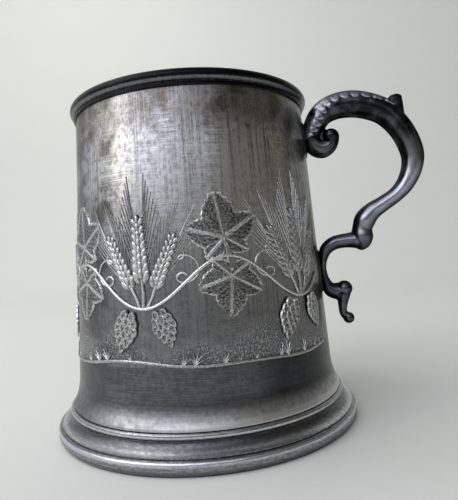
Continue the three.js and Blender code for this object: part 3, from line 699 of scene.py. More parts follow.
def casting_material(name, colours, plain):
    """Cast pewter under dark oxide, polished by the hand: near black, smooth, grey where it is worn and where
    sheen is painted.
    """
    material, tree = new_material(name)
    place = add_node(tree, "ShaderNodeTexCoord").outputs["Object"]
    # Clouds of oxide about 4 mm across, and a casting grain of 0.6 mm
    mottle = add_node(tree, "ShaderNodeTexNoise", {"Vector": place, "Scale": 1 / (4 * MM), "Detail": 5.0})
    grain = add_node(tree, "ShaderNodeTexNoise", {"Vector": place, "Scale": 1 / (0.6 * MM), "Detail": 3.0})
    wear = add_node(tree, "ShaderNodeAttribute", attribute_name="wear").outputs["Fac"]
    cloudy = add_node(tree, "ShaderNodeMapRange", [mottle, 0.4, 0.7, plain, plain + 0.16], **SOFT)
    rub = add_node(tree, "ShaderNodeMath", [wear, cloudy], operation="ADD", use_clamp=True)
    greys = [rub, colours.handle_dark, colours.handle_worn_and_sheen]
    colour = add_node(tree, "ShaderNodeMix", greys, data_type="RGBA")
    rough = add_node(tree, "ShaderNodeMapRange", [mottle, 0.3, 0.7, 0.18, 0.28], **SOFT)
    skin = add_node(tree, "ShaderNodeBump", {"Height": grain, "Strength": 0.1, "Distance": 0.1 * MM})
    surface = {"Metallic": 1.0, "Base Color": colour, "Roughness": rough, "Normal": skin}
    # Oxide keeps the metal's edges from shining
    surface["Specular Tint"] = (0.3, 0.3, 0.32, 1)
    shader = add_node(tree, "ShaderNodeBsdfPrincipled", surface)
    add_node(tree, "ShaderNodeOutputMaterial", [shader])
    return material


def solder_material(name, colours):
    """Tin solder, wiped while hot: dull, lumpy and slightly grainy."""
    material, tree = new_material(name)
    place = add_node(tree, "ShaderNodeTexCoord").outputs["Object"]
    # Lumps about 1.2 mm across
    lumps = add_node(tree, "ShaderNodeTexNoise", {"Vector": place, "Scale": 1 / (1.2 * MM), "Detail": 4.0})
    share = add_node(tree, "ShaderNodeMapRange", [lumps, 0.35, 0.7, 0, 1], **SOFT)
    greys = [share, shade(colours.solder_grey, 0.5), colours.solder_grey]
    colour = add_node(tree, "ShaderNodeMix", greys, data_type="RGBA")
    rough = add_node(tree, "ShaderNodeMapRange", [lumps, 0.3, 0.7, 0.5, 0.36], **SOFT)
    bumps = add_node(tree, "ShaderNodeBump", {"Height": lumps, "Strength": 0.5, "Distance": 0.2 * MM})
    surface = {"Metallic": 1.0, "Base Color": colour, "Roughness": rough, "Normal": bumps}
    shader = add_node(tree, "ShaderNodeBsdfPrincipled", surface)
    add_node(tree, "ShaderNodeOutputMaterial", [shader])
    return material


def board_material(name, colours):
    """Painted board: matt, pale, with the faintest roller texture."""
    material, tree = new_material(name)
    place = add_node(tree, "ShaderNodeTexCoord").outputs["Object"]
    # Roller marks about 1.5 mm across
    roller = add_node(tree, "ShaderNodeTexNoise", {"Vector": place, "Scale": 1 / (1.5 * MM), "Detail": 2.0})
    paints = [roller, shade(colours.board, 0.96), colours.board]
    colour = add_node(tree, "ShaderNodeMix", paints, data_type="RGBA")
    shader = add_node(tree, "ShaderNodeBsdfPrincipled", {"Base Color": colour, "Roughness": 0.6})
    add_node(tree, "ShaderNodeOutputMaterial", [shader])
    return material


def shared(name, make, *values):
    """A material of this name, made the first time that a piece asks for it."""
    return bpy.data.materials.get(name) or make(name, *values)


# Pieces


def tankard_settings(context):
    """The sizes and colours that the panel shows."""
    return context.scene.tankard_sizes, context.scene.tankard_colours


class TANKARD_OT_drum(bpy.types.Operator):
    """Build the tapered drum with its flared foot and the grainy band over the frieze's ground"""

    bl_idname = "tankard.drum"
    bl_label = "Drum"

    def execute(self, context):
        sizes, colours = tankard_settings(context)
        flare_top = sizes.drum_bottom + sizes.flare_height
        flare_rows, wall_rows = 12, 90
        flare = np.linspace(sizes.drum_bottom, flare_top, flare_rows)
        heights = np.concatenate([flare[:-1], np.linspace(flare_top, sizes.height, wall_rows)])
        outside = [(drum_radius(sizes, z), z) for z in heights]
        inside = [(drum_radius(sizes, z) - sizes.sheet, z) for z in heights[::-6]]
        # The lower edge is broken with a file
        filed = sizes.drum_bottom + 0.2 * MM
        outside[0] = (outside[0][0] - 0.15 * MM, outside[0][1])
        outside.insert(1, (drum_radius(sizes, filed), filed))
        material = shared("pewter_sheet_hand_brushed", sheet_material, sizes, colours)
        drum = turned_piece("drum", outside + inside, sizes, material)
        points = vertices_of(drum.data)
        angle = np.arctan2(points[:, 1], points[:, 0] - AXIS_X)
        girth = np.hypot(points[:, 0] - AXIS_X, points[:, 1])
        ground = ground_line(sizes, angle)
        # The grainy band starts at the ground line and fades out at a ragged height over it
        ragged = 8 * MM + 3 * MM * np.sin(5 * angle) + 2 * MM * np.sin(13 * angle + 1)
        turf = np.clip((points[:, 2] - ground) / (0.8 * MM), 0, 1)
        turf *= np.clip((ground + ragged - points[:, 2]) / (5 * MM), 0, 1)
        turf[girth < drum_radius(sizes, points[:, 2]) - 0.2 * MM] = 0
        mark_points(drum.data, "turf", turf)
        finished(drum, ["body_drum"])
        return {"FINISHED"}


class TANKARD_OT_mouldings(bpy.types.Operator):
    """Turn the lip, the collar wire, the hollow foot moulding and the rim"""

    bl_idname = "tankard.mouldings"
    bl_label = "Lip and foot mouldings"

    def execute(self, context):
        sizes, colours = tankard_settings(context)
        material = shared("pewter_turned", moulding_material, sizes, colours)
        # Profiles list radius, height, size of the round and wear, which is -1 for black and 1 for bright; on
        # the foot it also holds painted highlights and painted shade
        pieces = (
            ("lip", self.lip(sizes), "lip_band"),
            ("collar", self.collar(sizes), "collar_wire"),
            ("foot_hollow", self.hollow(sizes), "foot_skirt"),
            ("foot_band", self.band(sizes), "foot_rim"),
        )
        for name, rows, node in pieces:
            radii, heights, wear = zip(*eased(rows))
            piece = turned_piece(name, list(zip(radii, heights)), sizes, material, wear)
            finished(piece, [node])
        return {"FINISHED"}

    @staticmethod
    def lip(sizes):
        """A half-round bead, worn on its top, over a black cove."""
        # The feathered lowest part is wiped into the wall
        wiped = 0.8 * MM
        top, bottom = sizes.height, sizes.height - sizes.lip_height + wiped
        inner_top = drum_radius(sizes, top) + 0.1 * MM
        inner_low = drum_radius(sizes, bottom) + 0.1 * MM
        radii = (1.48 * MM, 1.75 * MM)
        centre = (sizes.mouth_radius + 0.6 * MM, top - radii[1])
        bead_low = arc(centre, radii, -62, -38, 5, -0.2)
        bead_high = arc(centre, radii, -22, 52, 8, -1.1)
        bead_top = arc(centre, radii, 60, 84, 4, 0.3)
        return [
            (inner_low, bottom, 0, -1.2),
            (inner_low + 0.55 * MM, bottom, 0.12 * MM, -1.2),
            (inner_low + 0.55 * MM, bottom + 0.4 * MM, 0.15 * MM, -1.1),
            (inner_low + 0.4 * MM, bottom + 0.75 * MM, 0.15 * MM, -1.2),
            (inner_top + 0.6 * MM, bottom + 1.2 * MM, 0.15 * MM, -1.0),
            *bead_low,
            *bead_high,
            *bead_top,
            (inner_top, top, 0, -0.3),
        ]

    @staticmethod
    def collar(sizes):
        """A half-round wire over the seam between drum and foot."""
        inner = sizes.drum_edge - 0.3 * MM
        low, high = sizes.drum_bottom - 2.05 * MM, sizes.drum_bottom - 0.2 * MM
        reach = sizes.drum_edge + 0.88 * MM - inner
        centre = (inner + reach * 0.45, (low + high) / 2)
        radii = (reach * 0.55, (high - low) / 2)
        return [
            (inner, low, 0, 0.0),
            # Painted highlight, partly wear: the wire's lower half is drawn bright
            *arc(centre, radii, -86, 0, 8, 0.95),
            *arc(centre, radii, 12, 86, 7, 0.3),
            (inner, high, 0, 0.0),
        ]

    @staticmethod
    def hollow(sizes):
        """The cavetto between collar and rim, hollow underneath, with the flange that carries the drum."""
        edge, foot = sizes.drum_edge, sizes.foot_radius - 1.35 * MM
        low = sizes.rim_height + 0.08 * MM
        ledge, flange = sizes.drum_bottom - 2.1 * MM, sizes.drum_bottom - 0.3 * MM
        sweep = []
        start = np.array([foot, low + 0.35 * MM])
        bend = np.array([edge + 1.5 * MM, low + 0.9 * MM])
        stop = np.array([edge + 0.6 * MM, ledge - 0.25 * MM])
        for t in np.linspace(0, 1, 16):
            across, rise = (1 - t) ** 2 * start + 2 * t * (1 - t) * bend + t**2 * stop
            # Painted highlight on the lower part, which faces up, and painted shade at the top under the
            # collar
            wear = np.interp(t, (0, 0.1, 0.3, 0.5, 0.7, 1), (0.2, 0.7, 0.45, 0.0, -0.35, -0.6))
            sweep.append((across, rise, 0, wear))
        # The tongue inside the rim and the flange under the drum have the moulding's wall
        tongue, wall = sizes.foot_radius - 2.9 * MM, 1.5 * MM
        return [
            (tongue - wall, 1 * MM, 0, 0.0),
            (tongue, 1 * MM, 0, 0.0),
            (tongue, low, 0, 0.0),
            (foot, low, 0.1 * MM, 0.2),
            *sweep,
            (edge + 0.6 * MM, ledge, 0.15 * MM, -0.6),
            (edge - 0.5 * MM, ledge, 0, 0.0),
            (edge - 0.5 * MM, flange, 0, 0.0),
            (edge - 5.2 * MM, flange, 0, 0.0),
            (edge - 5.2 * MM, flange - wall, 0, 0.0),
            (edge - 2 * MM, flange - wall, 0, 0.0),
            (edge - 1.4 * MM, low + 0.6 * MM, 0, 0.0),
            (tongue - wall, low - wall, 0, 0.0),
        ]

    @staticmethod
    def band(sizes):
        """The heavy rim: a rounded bright shoulder over an upright face."""
        outer, top, inner = sizes.foot_radius, sizes.rim_height, sizes.foot_radius - 2.6 * MM
        round_over = 1.3 * MM
        centre, radii = (outer - round_over, top - round_over), (round_over, round_over)
        # The nose is drawn bright, partly wear and partly painted highlight; the face is drawn darker towards
        # the bottom
        nose = arc(centre, radii, 6, 38, 6, 0.85)
        shoulder = arc(centre, radii, 48, 90, 6, 0.05)
        return [
            (inner, 0, 0.2 * MM, -0.8),
            (outer - 0.9 * MM, 0, 0.4 * MM, -0.8),
            (outer - 0.2 * MM, 1.0 * MM, 0.4 * MM, -0.2),
            (outer, 2.2 * MM, 0.4 * MM, 0.15),
            *nose,
            *shoulder,
            (inner, top, 0, -0.4),
        ]


class TANKARD_OT_floor(bpy.types.Operator):
    """Build the floor disc inside the drum and the solder that seals it"""

    bl_idname = "tankard.floor"
    bl_label = "Floor and its solder"

    def execute(self, context):
        sizes, colours = tankard_settings(context)
        low, high = PLATE_BOX[0].z, PLATE_BOX[1].z
        radius = PLATE_BOX[1].x - AXIS_X
        sheet = shared("pewter_sheet_spun", floor_material, colours)
        rings = [radius * share for share in (0.8, 0.6, 0.4, 0.2)]
        under = [(0, low), *[(r, low) for r in rings[::-1]], (radius, low)]
        plate = under + [(radius, high), *[(r, high) for r in rings], (0, high)]
        disc = turned_piece("floor_disc", plate, sizes, sheet, closed=False)
        finished(disc, ["bottom_plate"])
        solder_low, solder_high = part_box("floor_solder")
        outer = solder_high.x - AXIS_X
        leg = solder_high.z - solder_low.z
        run = [(outer, solder_low.z)]
        for a in np.linspace(math.pi / 2, 0, 9):
            run.append((outer - leg * (1 - math.sin(a)), solder_low.z + leg * (1 - math.cos(a))))
        solder = shared("tin_solder_wiped", solder_material, colours)
        finished(turned_piece("floor_seal", run, sizes, solder), ["floor_solder"])
        return {"FINISHED"}


# The frieze's motifs, drawn flat in millimetres: X along the wall, Y up, Z out


VINE_HEIGHT, VINE_SWING = 51.5, 7
LEAF, CONE, EAR, TUFT = 1, 2, 3, 4
# What grows at each crest and trough of the vine: along and up from it, turn in degrees, size, motif
CREST_MOTIFS = ((-0.6, 5.4, 9, 1.08, LEAF), (0.8, -5.8, 175, 0.95, LEAF))
TROUGH_MOTIFS = (
    (-1.2, 0.5, 26, 1.16, EAR), (0, 0.5, 2, 1.3, EAR), (1.2, 0.5, -24, 1.1, EAR),
    (-4.6, 0, -16, 1.12, CONE), (4.4, 0.2, 18, 1.02, CONE),
)


def ridge(line, half_width, height, tip_width):
    """A raised line in the frieze's plane, tapering from its root to its tip."""
    line = np.asarray(line, float)
    along = np.gradient(line, axis=0)
    along /= np.linalg.norm(along, axis=1)[:, None]
    outward = np.column_stack([-along[:, 1], along[:, 0], np.zeros(len(line))])
    centres = np.column_stack([line, np.zeros(len(line))])
    across = np.tile([0.0, 0.0, 1.0], (len(line), 1))
    taper = np.linspace(1, tip_width / half_width, len(line))
    points, faces, facing = tube(centres, outward, across, half_width * taper, height * np.sqrt(taper), 8)
    return points, faces, np.clip(facing, 0, 1)


def hop_leaf(relief):
    """A hop leaf with five toothed lobes, raised rim and veins; it points up from its stalk."""
    # Direction of each lobe in degrees, its length, and half of its spread in degrees
    lobes = ((0, 13.4, 44), (66, 11.6, 42), (-66, 11.6, 42), (128, 8.2, 40), (-128, 8.2, 40))
    spokes, heart = 180, 2.6
    vein_width, rim_inset, rim_width, side_gap = 0.4, 0.5, 0.42, 1.7
    angles = np.radians(np.linspace(-180, 180, spokes, endpoint=False))
    radius = np.full(spokes, heart)
    vein_gap = np.full(spokes, np.pi)
    for turn, length, half in lobes:
        off = np.abs(np.degrees((angles - math.radians(turn) + np.pi) % (2 * np.pi) - np.pi))
        place = np.clip(off / half, 0, 1)
        teeth = 1 + 0.075 * (((place * 5) % 1) - 0.5) * (place < 1)
        reach = np.where(off < half, length * (1 - 0.44 * place**0.95) * teeth, 0)
        vein_gap = np.where(reach >= radius, np.radians(off), vein_gap)
        radius = np.maximum(radius, reach)
    outline = np.column_stack([radius * np.sin(angles), radius * np.cos(angles)])
    shares = np.array([0.1, 0.22, 0.34, 0.46, 0.57, 0.67, 0.76, 0.83, 0.885, 0.93, 0.965, 1.0])
    flat = shares[:, None] * radius[None, :]
    gap = np.minimum(vein_gap, np.pi / 2)[None, :]
    vein = np.exp(-((flat * np.sin(gap) / vein_width) ** 2))
    edge = np.exp(-((((1 - shares[:, None]) * radius[None, :] - rim_inset) / rim_width) ** 2))
    # Side veins leave the middle one at a slant
    slant = flat * np.cos(gap) - 1.1 * flat * np.sin(gap)
    side = np.clip(np.cos(2 * np.pi * slant / side_gap), 0, 1) ** 3
    crown = 0.55 * np.sin(np.pi * shares)[:, None] * np.sin(2.2 * gap)
    heights = relief * (0.4 + crown + 0.45 * np.maximum(vein, edge) + 0.2 * side * (1 - edge))
    heights[-1] = -0.3
    worn = 0.1 + np.clip(0.8 * np.maximum(vein, edge) + 0.25 * side, 0, 0.85)
    return relief_patch(outline, (0, 0), shares, heights, worn)


def bract(length, width, relief):
    """One scale of a hop cone: a drop that points down, with a bright rim."""
    t = np.linspace(0, 2 * np.pi, 16, endpoint=False)
    outline = np.column_stack([width / 2 * np.sin(t) * np.abs(np.sin(t / 2)) ** 0.6, -length / 2 * np.cos(t)])
    shares = np.array([0.35, 0.62, 0.82, 1.0])
    heights = relief * np.array([0.8, 0.85, 1.0, -0.2])
    return relief_patch(outline, (0, 0.1 * length), shares, heights, np.array([0.15, 0.35, 1.0, 0.3]))


def hop_cone(relief):
    """A hop cone hanging from its stalk, in overlapping rows of bracts."""
    parts = []
    # Height of each row of bracts, their number and their spread, from the tip up
    rows = ((-10.2, 1, 0.0), (-8.6, 2, 2.4), (-6.9, 3, 4.0), (-5.2, 4, 5.2), (-3.5, 3, 4.4), (-1.9, 2, 2.6))
    for number, (y, count, spread) in enumerate(rows):
        for i in range(count):
            x = 0 if count == 1 else spread * (i / (count - 1) - 0.5)
            crown = 0.55 * relief * (1 - (x / 4.2) ** 2)
            lean = math.radians(9 * x)
            parts.append(placed(bract(3.4, 2.5, 0.6 * relief), x, y, lean, 1, crown + 0.06 * number))
    t = np.linspace(0, 2 * np.pi, 24, endpoint=False)
    body = np.column_stack([3.1 * np.sin(t), -5.8 - 4.9 * np.cos(t)])
    shares = np.array([0.4, 0.7, 0.9, 1.0])
    parts.append(relief_patch(body, (0, -5.8), shares, relief * np.array([0.9, 0.7, 0.4, -0.4]), np.zeros(4)))
    return joined(parts)


def barley_ear(relief):
    """A barley ear on its stalk: two rows of grains and a middle row, with long awns."""
    stalk, spacing, pairs = 7, 1.75, 8
    t = np.linspace(0, 2 * np.pi, 12, endpoint=False)
    outline = np.column_stack([0.95 * np.sin(t), 2.1 * np.cos(t) * (1 - 0.12 * np.cos(t))])
    shares = np.array([0.4, 0.75, 1.0])
    low, high = relief * np.array([1.0, 0.8, -0.3]), relief * np.array([1.2, 1.0, 0.1])
    grain = relief_patch(outline, (0, 0), shares, low, np.array([0.7, 0.4, 0.0]))
    middle = relief_patch(outline, (0, 0), shares, high, np.array([0.75, 0.4, 0.0]))
    parts = []
    for i in range(pairs):
        y = stalk + spacing * i
        taper = 1 - 0.045 * i
        for side in (-1, 1):
            parts.append(placed(grain, side * 1.25 * taper, y, -side * math.radians(24), taper))
            root = np.array([side * 1.4, y + 1.6])
            tip = root + np.array([side * (4.4 - 0.5 * i), 11 - 0.25 * i])
            parts.append(ridge(np.linspace(root, tip, 5), 0.2, 0.5 * relief, 0.08))
        parts.append(placed(middle, 0, y + 0.8, 0, 0.8 * taper))
    parts.append(ridge(np.array([(0, 0), (0.3, 3), (0, stalk)]), 0.5, 0.8 * relief, 0.45))
    return joined(parts)


def grass_tuft(relief):
    """Five short blades that fan out of the ground line."""
    blades = []
    t = np.linspace(0, 1, 5)
    for lean, length in ((-0.75, 2.6), (-0.35, 3.8), (0.05, 4.6), (0.4, 3.6), (0.8, 2.4)):
        line = np.column_stack([length * t**1.5 * lean, length * t * (1 - 0.12 * abs(lean))])
        blades.append(ridge(line, 0.34, 0.75 * relief, 0.08))
    return joined(blades)


class TANKARD_OT_frieze(bpy.types.Operator):
    """Lay a running vine of hops with barley over a grassy ground round the drum"""

    bl_idname = "tankard.frieze"
    bl_label = "Hop and barley frieze"

    def execute(self, context):
        sizes, colours = tankard_settings(context)
        relief = sizes.relief / MM
        middle = (sizes.mouth_radius + sizes.base_radius) / 2
        start = sizes.frieze_gap
        length = (2 * math.pi - 2 * start) * middle / MM
        bay = length / sizes.repeats
        motifs = {
            "Hop leaf": hop_leaf(relief),
            "Hop cone": hop_cone(relief),
            "Barley ear": barley_ear(relief),
            "Grass tuft": grass_tuft(relief),
        }
        makers = {}
        for name, (points, faces, wear) in motifs.items():
            makers[name] = new_object(name.lower().replace(" ", "_") + "_motif", points * MM, faces, wear)
        marks = self.marks(sizes, bay, middle, start)
        points, faces, wear = joined(self.stems(sizes, bay, length, middle, start, relief))
        flat = np.vstack([points, [(u, v, 0) for u, v, *_ in marks]]) * MM
        blank = np.zeros(len(points))
        panel = new_object("frieze", flat, faces, np.concatenate([wear, np.zeros(len(marks))]))
        for index, name in enumerate(("turn", "size", "kind"), 2):
            mark_points(panel.data, name, np.concatenate([blank, [mark[index] for mark in marks]]))
        values = {
            **makers,
            "Axis X": AXIS_X,
            "Mouth radius": sizes.mouth_radius,
            "Height": sizes.height,
            "Slope": (sizes.base_radius - sizes.mouth_radius) / (sizes.height - sizes.drum_bottom),
            "Unrolled radius": middle,
            "Start angle": start,
            "Pewter": shared("pewter_relief_rubbed", relief_material, sizes, colours),
        }
        with_tree(panel, frieze_tree(list(motifs)), values)
        for maker in makers.values():
            bpy.data.meshes.remove(maker.data)
        if len(panel.data.polygons) == 0:
            raise RuntimeError("the frieze came out empty")
        finished(panel, ["body_drum"], sharp=math.radians(65))
        return {"FINISHED"}

    @staticmethod
    def vine(u, bay):
        """Height of the running vine along the wall, in millimetres."""
        return VINE_HEIGHT + VINE_SWING * np.cos(2 * np.pi * u / bay)

    def marks(self, sizes, bay, middle, start):
        """Places of the motifs: along, up, turn, size and which motif."""
        rows = []
        high, low = float(self.vine(0, bay)), float(self.vine(bay / 2, bay))
        for i in range(sizes.repeats):
            crest = (i + 0.25) * bay
            for at, height, motifs in ((crest, high, CREST_MOTIFS), (crest + bay / 2, low, TROUGH_MOTIFS)):
                for along, up, turn, size, motif in motifs:
                    rows.append((at + along, height + up, math.radians(turn), size, motif))
        # Grass tufts stand unevenly along the ground, leaning and sized by slow waves
        tufts = 9 * sizes.repeats
        for i in range(tufts):
            u = (i + 0.5 + 0.28 * math.sin(2.4 * i)) * bay * sizes.repeats / tufts
            v = float(ground_line(sizes, start + u * MM / middle)) / MM
            rows.append((u, v, 0.25 * math.sin(1.7 * i), 0.75 + 0.35 * math.sin(5.1 * i), TUFT))
        return rows

    def stems(self, sizes, bay, length, middle, start, relief):
        """The vine, its tendrils and stalks, and the ridge along the ground."""
        offset = bay * 0.25
        u = np.linspace(1, length - 1, 40 * sizes.repeats)
        parts = [ridge(np.column_stack([u, self.vine(u - offset, bay)]), 0.62, 1.1 * relief, 0.62)]
        ground = ground_line(sizes, start + u * MM / middle) / MM
        points, faces, wear = ridge(np.column_stack([u, ground]), 0.6, 0.8 * relief, 0.6)
        parts.append((points, faces, 0.55 * wear))
        margin = 4
        turn = np.linspace(0, 1, 34)
        high = float(self.vine(0, bay))
        for i in range(sizes.repeats):
            crest = (i + 0.25) * bay
            for reach_u, reach_v in ((-0.4, 5.4), (0.6, -5.8)):
                stalk = np.array([(crest, high), (crest + reach_u, high + reach_v)])
                parts.append(ridge(np.linspace(*stalk, 5), 0.5, 0.9 * relief, 0.35))
            for side in (-1, 1):
                root_u = crest + side * bay * 0.2
                if not margin < root_u < length - margin:
                    continue
                root_v = float(self.vine(root_u - offset, bay))
                # A tendril rises 7.5 mm while it winds in, from a radius of 5.1 mm to one of 0.5 mm
                spin = 0.4 + 3.4 * np.pi * turn**1.25
                radius = 4.6 * (1 - turn) ** 0.9 + 0.5
                swing = radius * np.sin(spin) - radius[0] * math.sin(spin[0])
                curl_u = root_u + side * (5.2 + swing - 3.4 * (1 - turn))
                curl_v = root_v + 7.5 * turn**0.6 + 0.8 * radius * (np.cos(spin) - math.cos(spin[0]))
                parts.append(ridge(np.column_stack([curl_u, curl_v]), 0.42, 0.7 * relief, 0.28))
        return parts


# The handle


HANDLE_TOP = DRUM_BOX[1].z - 0.2 * MM
HANDLE_LENGTH = HANDLE_TOP - HANDLE_BOX[0].z
# The volute's curl in millimetres; its eye stands that far out from the core
VOLUTE = {"out": 6.5, "drop": 15.8, "radius": 3.8, "width": 7.6, "thickness": 7, "tip": 4.4, "eye": 3}
# Radius and width in millimetres of the sunk core and of the eye
CORE, EYE = (3.4, 4.6), (3, 10)
# Drop of the loop's widest place, as a share of the handle's length
WIDEST = 0.288

# Stations: distance out from the wall and drop below the top as shares of the handle's reach and
# length, then thickness in the handle's plane and width across it in millimetres
LOOP = (
    (0.105, 0.14, 7.2, 8.4), (0.178, 0.091, 7.9, 8.9), (0.283, 0.065, 8.6, 9.2), (0.421, 0.059, 9, 9.4),
    (0.57, 0.075, 8.8, 9.4), (0.722, 0.116, 8.5, 9.4), (0.843, 0.196, 8.1, 9.2), (0.902, WIDEST, 7.8, 8.8),
    (0.887, 0.354, 7.1, 8.2), (0.823, 0.416, 6.2, 7.6), (0.732, 0.462, 5.4, 7), (0.612, 0.498, 5.6, 7),
    (0.515, 0.525, 6.4, 7.4), (0.446, 0.558, 7.4, 8.2), (0.41, 0.597, 6.9, 7.7), (0.401, 0.633, 7.6, 8.5),
    (0.389, 0.664, 5.8, 6.6), (0.369, 0.688, 1.6, 2.4),
)
SCROLL = (
    (0.385, 0.646, 6.4, 7), (0.262, 0.643, 5.2, 6.4), (0.14, 0.653, 4.9, 6.2), (0.06, 0.687, 4.2, 6.1),
    (0.0325, 0.748, 2.3, 6), (0.04, 0.808, 2.9, 6), (0.072, 0.849, 5.3, 6.3), (0.147, 0.862, 6.2, 6.6),
)
TAIL = ((0.182, 0.872, 5, 5.4), (0.162, 0.925, 3.2, 3.8), (0.162, 0.957, 2.8, 3.4), (0.19, 0.974, 3, 3.4))
SPUR = (
    (0.785, 0.106, 8.4, 6.8), (0.809, 0.078, 6.2, 5.6), (0.824, 0.06, 4.9, 4.6), (0.835, 0.05, 3.8, 3.6),
    (0.84, 0.041, 2.2, 2.2),
)
# Buttons: distance out and drop as for stations, then radius and width in millimetres
SCROLL_END = (0.195, 0.849, 2.8, 7.2)
TAIL_TIP = (0.202, 0.977, 2, 4.6)


def handle_reach(sizes):
    """Wall to the outside of the loop."""
    return HANDLE_BOX[1].x - AXIS_X - float(drum_radius(sizes, HANDLE_TOP - WIDEST * HANDLE_LENGTH))


def handle_rows(sizes, stations):
    """Stations in metres: place from the axis, height, half thickness and half width."""
    reach = handle_reach(sizes)
    rows = []
    for out, drop, thick, wide in stations:
        z = HANDLE_TOP - drop * HANDLE_LENGTH
        rows.append((drum_radius(sizes, z) + out * reach, z, thick * MM / 2, wide * MM / 2))
    return rows


def loop_rows(sizes):
    """The volute's curl and the loop, from the curl's tip to the knuckle's point."""
    reach = handle_reach(sizes)
    curl = []
    for share in np.linspace(0, 1, 5):
        angle = math.radians(-6 - 178 * share)
        out = (VOLUTE["out"] + VOLUTE["radius"] * math.cos(angle)) * MM
        drop = (VOLUTE["drop"] - VOLUTE["radius"] * math.sin(angle)) * MM
        swell = np.clip((share - 0.1) / 0.5, 0, 1)
        thick = VOLUTE["tip"] + (VOLUTE["thickness"] - VOLUTE["tip"]) * swell**2 * (3 - 2 * swell)
        curl.append((out / reach, drop / HANDLE_LENGTH, thick, VOLUTE["width"]))
    return handle_rows(sizes, [*curl, *LOOP])


def sections(rows, t):
    """Centres, outward directions, half thickness and half width along a row of stations."""
    here, step = spline(rows, t), 0.01
    ahead = spline(rows, np.minimum(t + step, len(rows) - 1))
    behind = spline(rows, np.maximum(t - step, 0))
    along = ahead[:, :2] - behind[:, :2]
    along /= np.linalg.norm(along, axis=1)[:, None]
    zero = np.zeros(len(t))
    centres = np.column_stack([here[:, 0] + AXIS_X, zero, here[:, 1]])
    outward = np.column_stack([-along[:, 1], zero, along[:, 0]])
    return centres, outward, here[:, 2], here[:, 3]


def cast_loft(rows, steps, sides=32):
    """A rounded bar through a row of stations."""
    centres, outward, thick, wide = sections(rows, np.linspace(0, len(rows) - 1, steps))
    across = np.tile([0.0, 1.0, 0.0], (steps, 1))
    points, faces, _ = tube(centres, outward, across, thick, wide, sides)
    return points, faces, np.zeros(len(points))


def cast_button(sizes, out, drop, radius, width):
    """A rounded boss across the handle, as a lathe-turned barrel with domed ends."""
    centre_x, centre_z, _, _ = handle_rows(sizes, [(out, drop, 1, 1)])[0]
    rings, sides = 19, 28
    t = np.linspace(-1, 1, rings)
    across = t * width * MM / 2
    centres = np.column_stack([np.full(rings, centre_x + AXIS_X), across, np.full(rings, centre_z)])
    round_off = radius * MM * np.sqrt(np.clip(1 - np.abs(t) ** 2.6, 0.0004, 1))
    outward = np.tile([1.0, 0.0, 0.0], (rings, 1))
    upward = np.tile([0.0, 0.0, 1.0], (rings, 1))
    points, faces, _ = tube(centres, outward, upward, round_off, round_off, sides)
    return points, faces, np.zeros(len(points))


def fit_to_wall(piece, sizes, gap):
    """Files the back of a piece to the drum's round: points inside the wall move out to it."""
    points = vertices_of(piece.data)
    east, north = points[:, 0] - AXIS_X, points[:, 1]
    girth = np.hypot(east, north)
    wall = drum_radius(sizes, points[:, 2]) + gap
    grow = np.maximum(wall / girth, 1)
    points[:, 0] = AXIS_X + east * grow
    points[:, 1] = north * grow
    piece.data.vertices.foreach_set("co", points.astype(np.float32).ravel())
    piece.data.update()


class TANKARD_OT_handle(bpy.types.Operator):
    """Cast the scroll handle: volute, loop, spur, knuckle, lower scroll and tail in one piece"""

    bl_idname = "tankard.handle"
    bl_label = "Scroll handle"

    voxel: bpy.props.FloatProperty(
        name="Grain", description="Size of the casting's mesh", default=0.3 * MM, unit="LENGTH", precision=5
    )

    def execute(self, context):
        sizes, colours = tankard_settings(context)
        reach = handle_reach(sizes)
        eye_out = (VOLUTE["out"] + VOLUTE["eye"]) * MM / reach
        core_out, core_drop = VOLUTE["out"] * MM / reach, VOLUTE["drop"] * MM / HANDLE_LENGTH
        parts = [
            cast_loft(loop_rows(sizes), steps=180, sides=36),
            cast_button(sizes, core_out, core_drop, *CORE),
            cast_button(sizes, eye_out, core_drop, *EYE),
            cast_loft(handle_rows(sizes, SPUR), steps=24),
            cast_loft(handle_rows(sizes, SCROLL), steps=70),
            cast_button(sizes, *SCROLL_END),
            cast_loft(handle_rows(sizes, TAIL), steps=28),
            cast_button(sizes, *TAIL_TIP),
        ]
        points, faces, _ = joined(parts)
        casting = new_object("scroll_handle", points, faces)
        # One skin over all the lofts, softened as sand-cast metal is
        skin = casting.modifiers.new("skin", "REMESH")
        skin.mode = "VOXEL"
        skin.voxel_size = self.voxel
        soft = casting.modifiers.new("soft", "SMOOTH")
        soft.factor = 0.5
        soft.iterations = 7
        settled(casting)
        fit_to_wall(casting, sizes, gap=0.05 * MM)
        if len(casting.data.polygons) < 1000:
            raise RuntimeError("the handle's skin came out empty")
        # Painted sheen, partly wear: the sides of the lower loop are drawn lighter; the top, the inside and
        # the tail stay dark
        sideways = np.array([abs(normal.vector.y) for normal in casting.data.vertex_normals])
        drop = (HANDLE_TOP - vertices_of(casting.data)[:, 2]) / HANDLE_LENGTH
        sheen_and_wear_share = np.interp(drop, (0.2, 0.4, 0.57, 0.66, 1), (0.0, 1.0, 0.8, 0.2, 0.08))
        mark_points(casting.data, "wear", np.clip(sideways, 0, 1) ** 3 * sheen_and_wear_share)
        casting.data.materials.clear()
        casting.data.materials.append(shared("pewter_cast_oxidised", casting_material, colours, 0.0))
        finished(casting, ["handle"], sharp=math.radians(80))
        return {"FINISHED"}


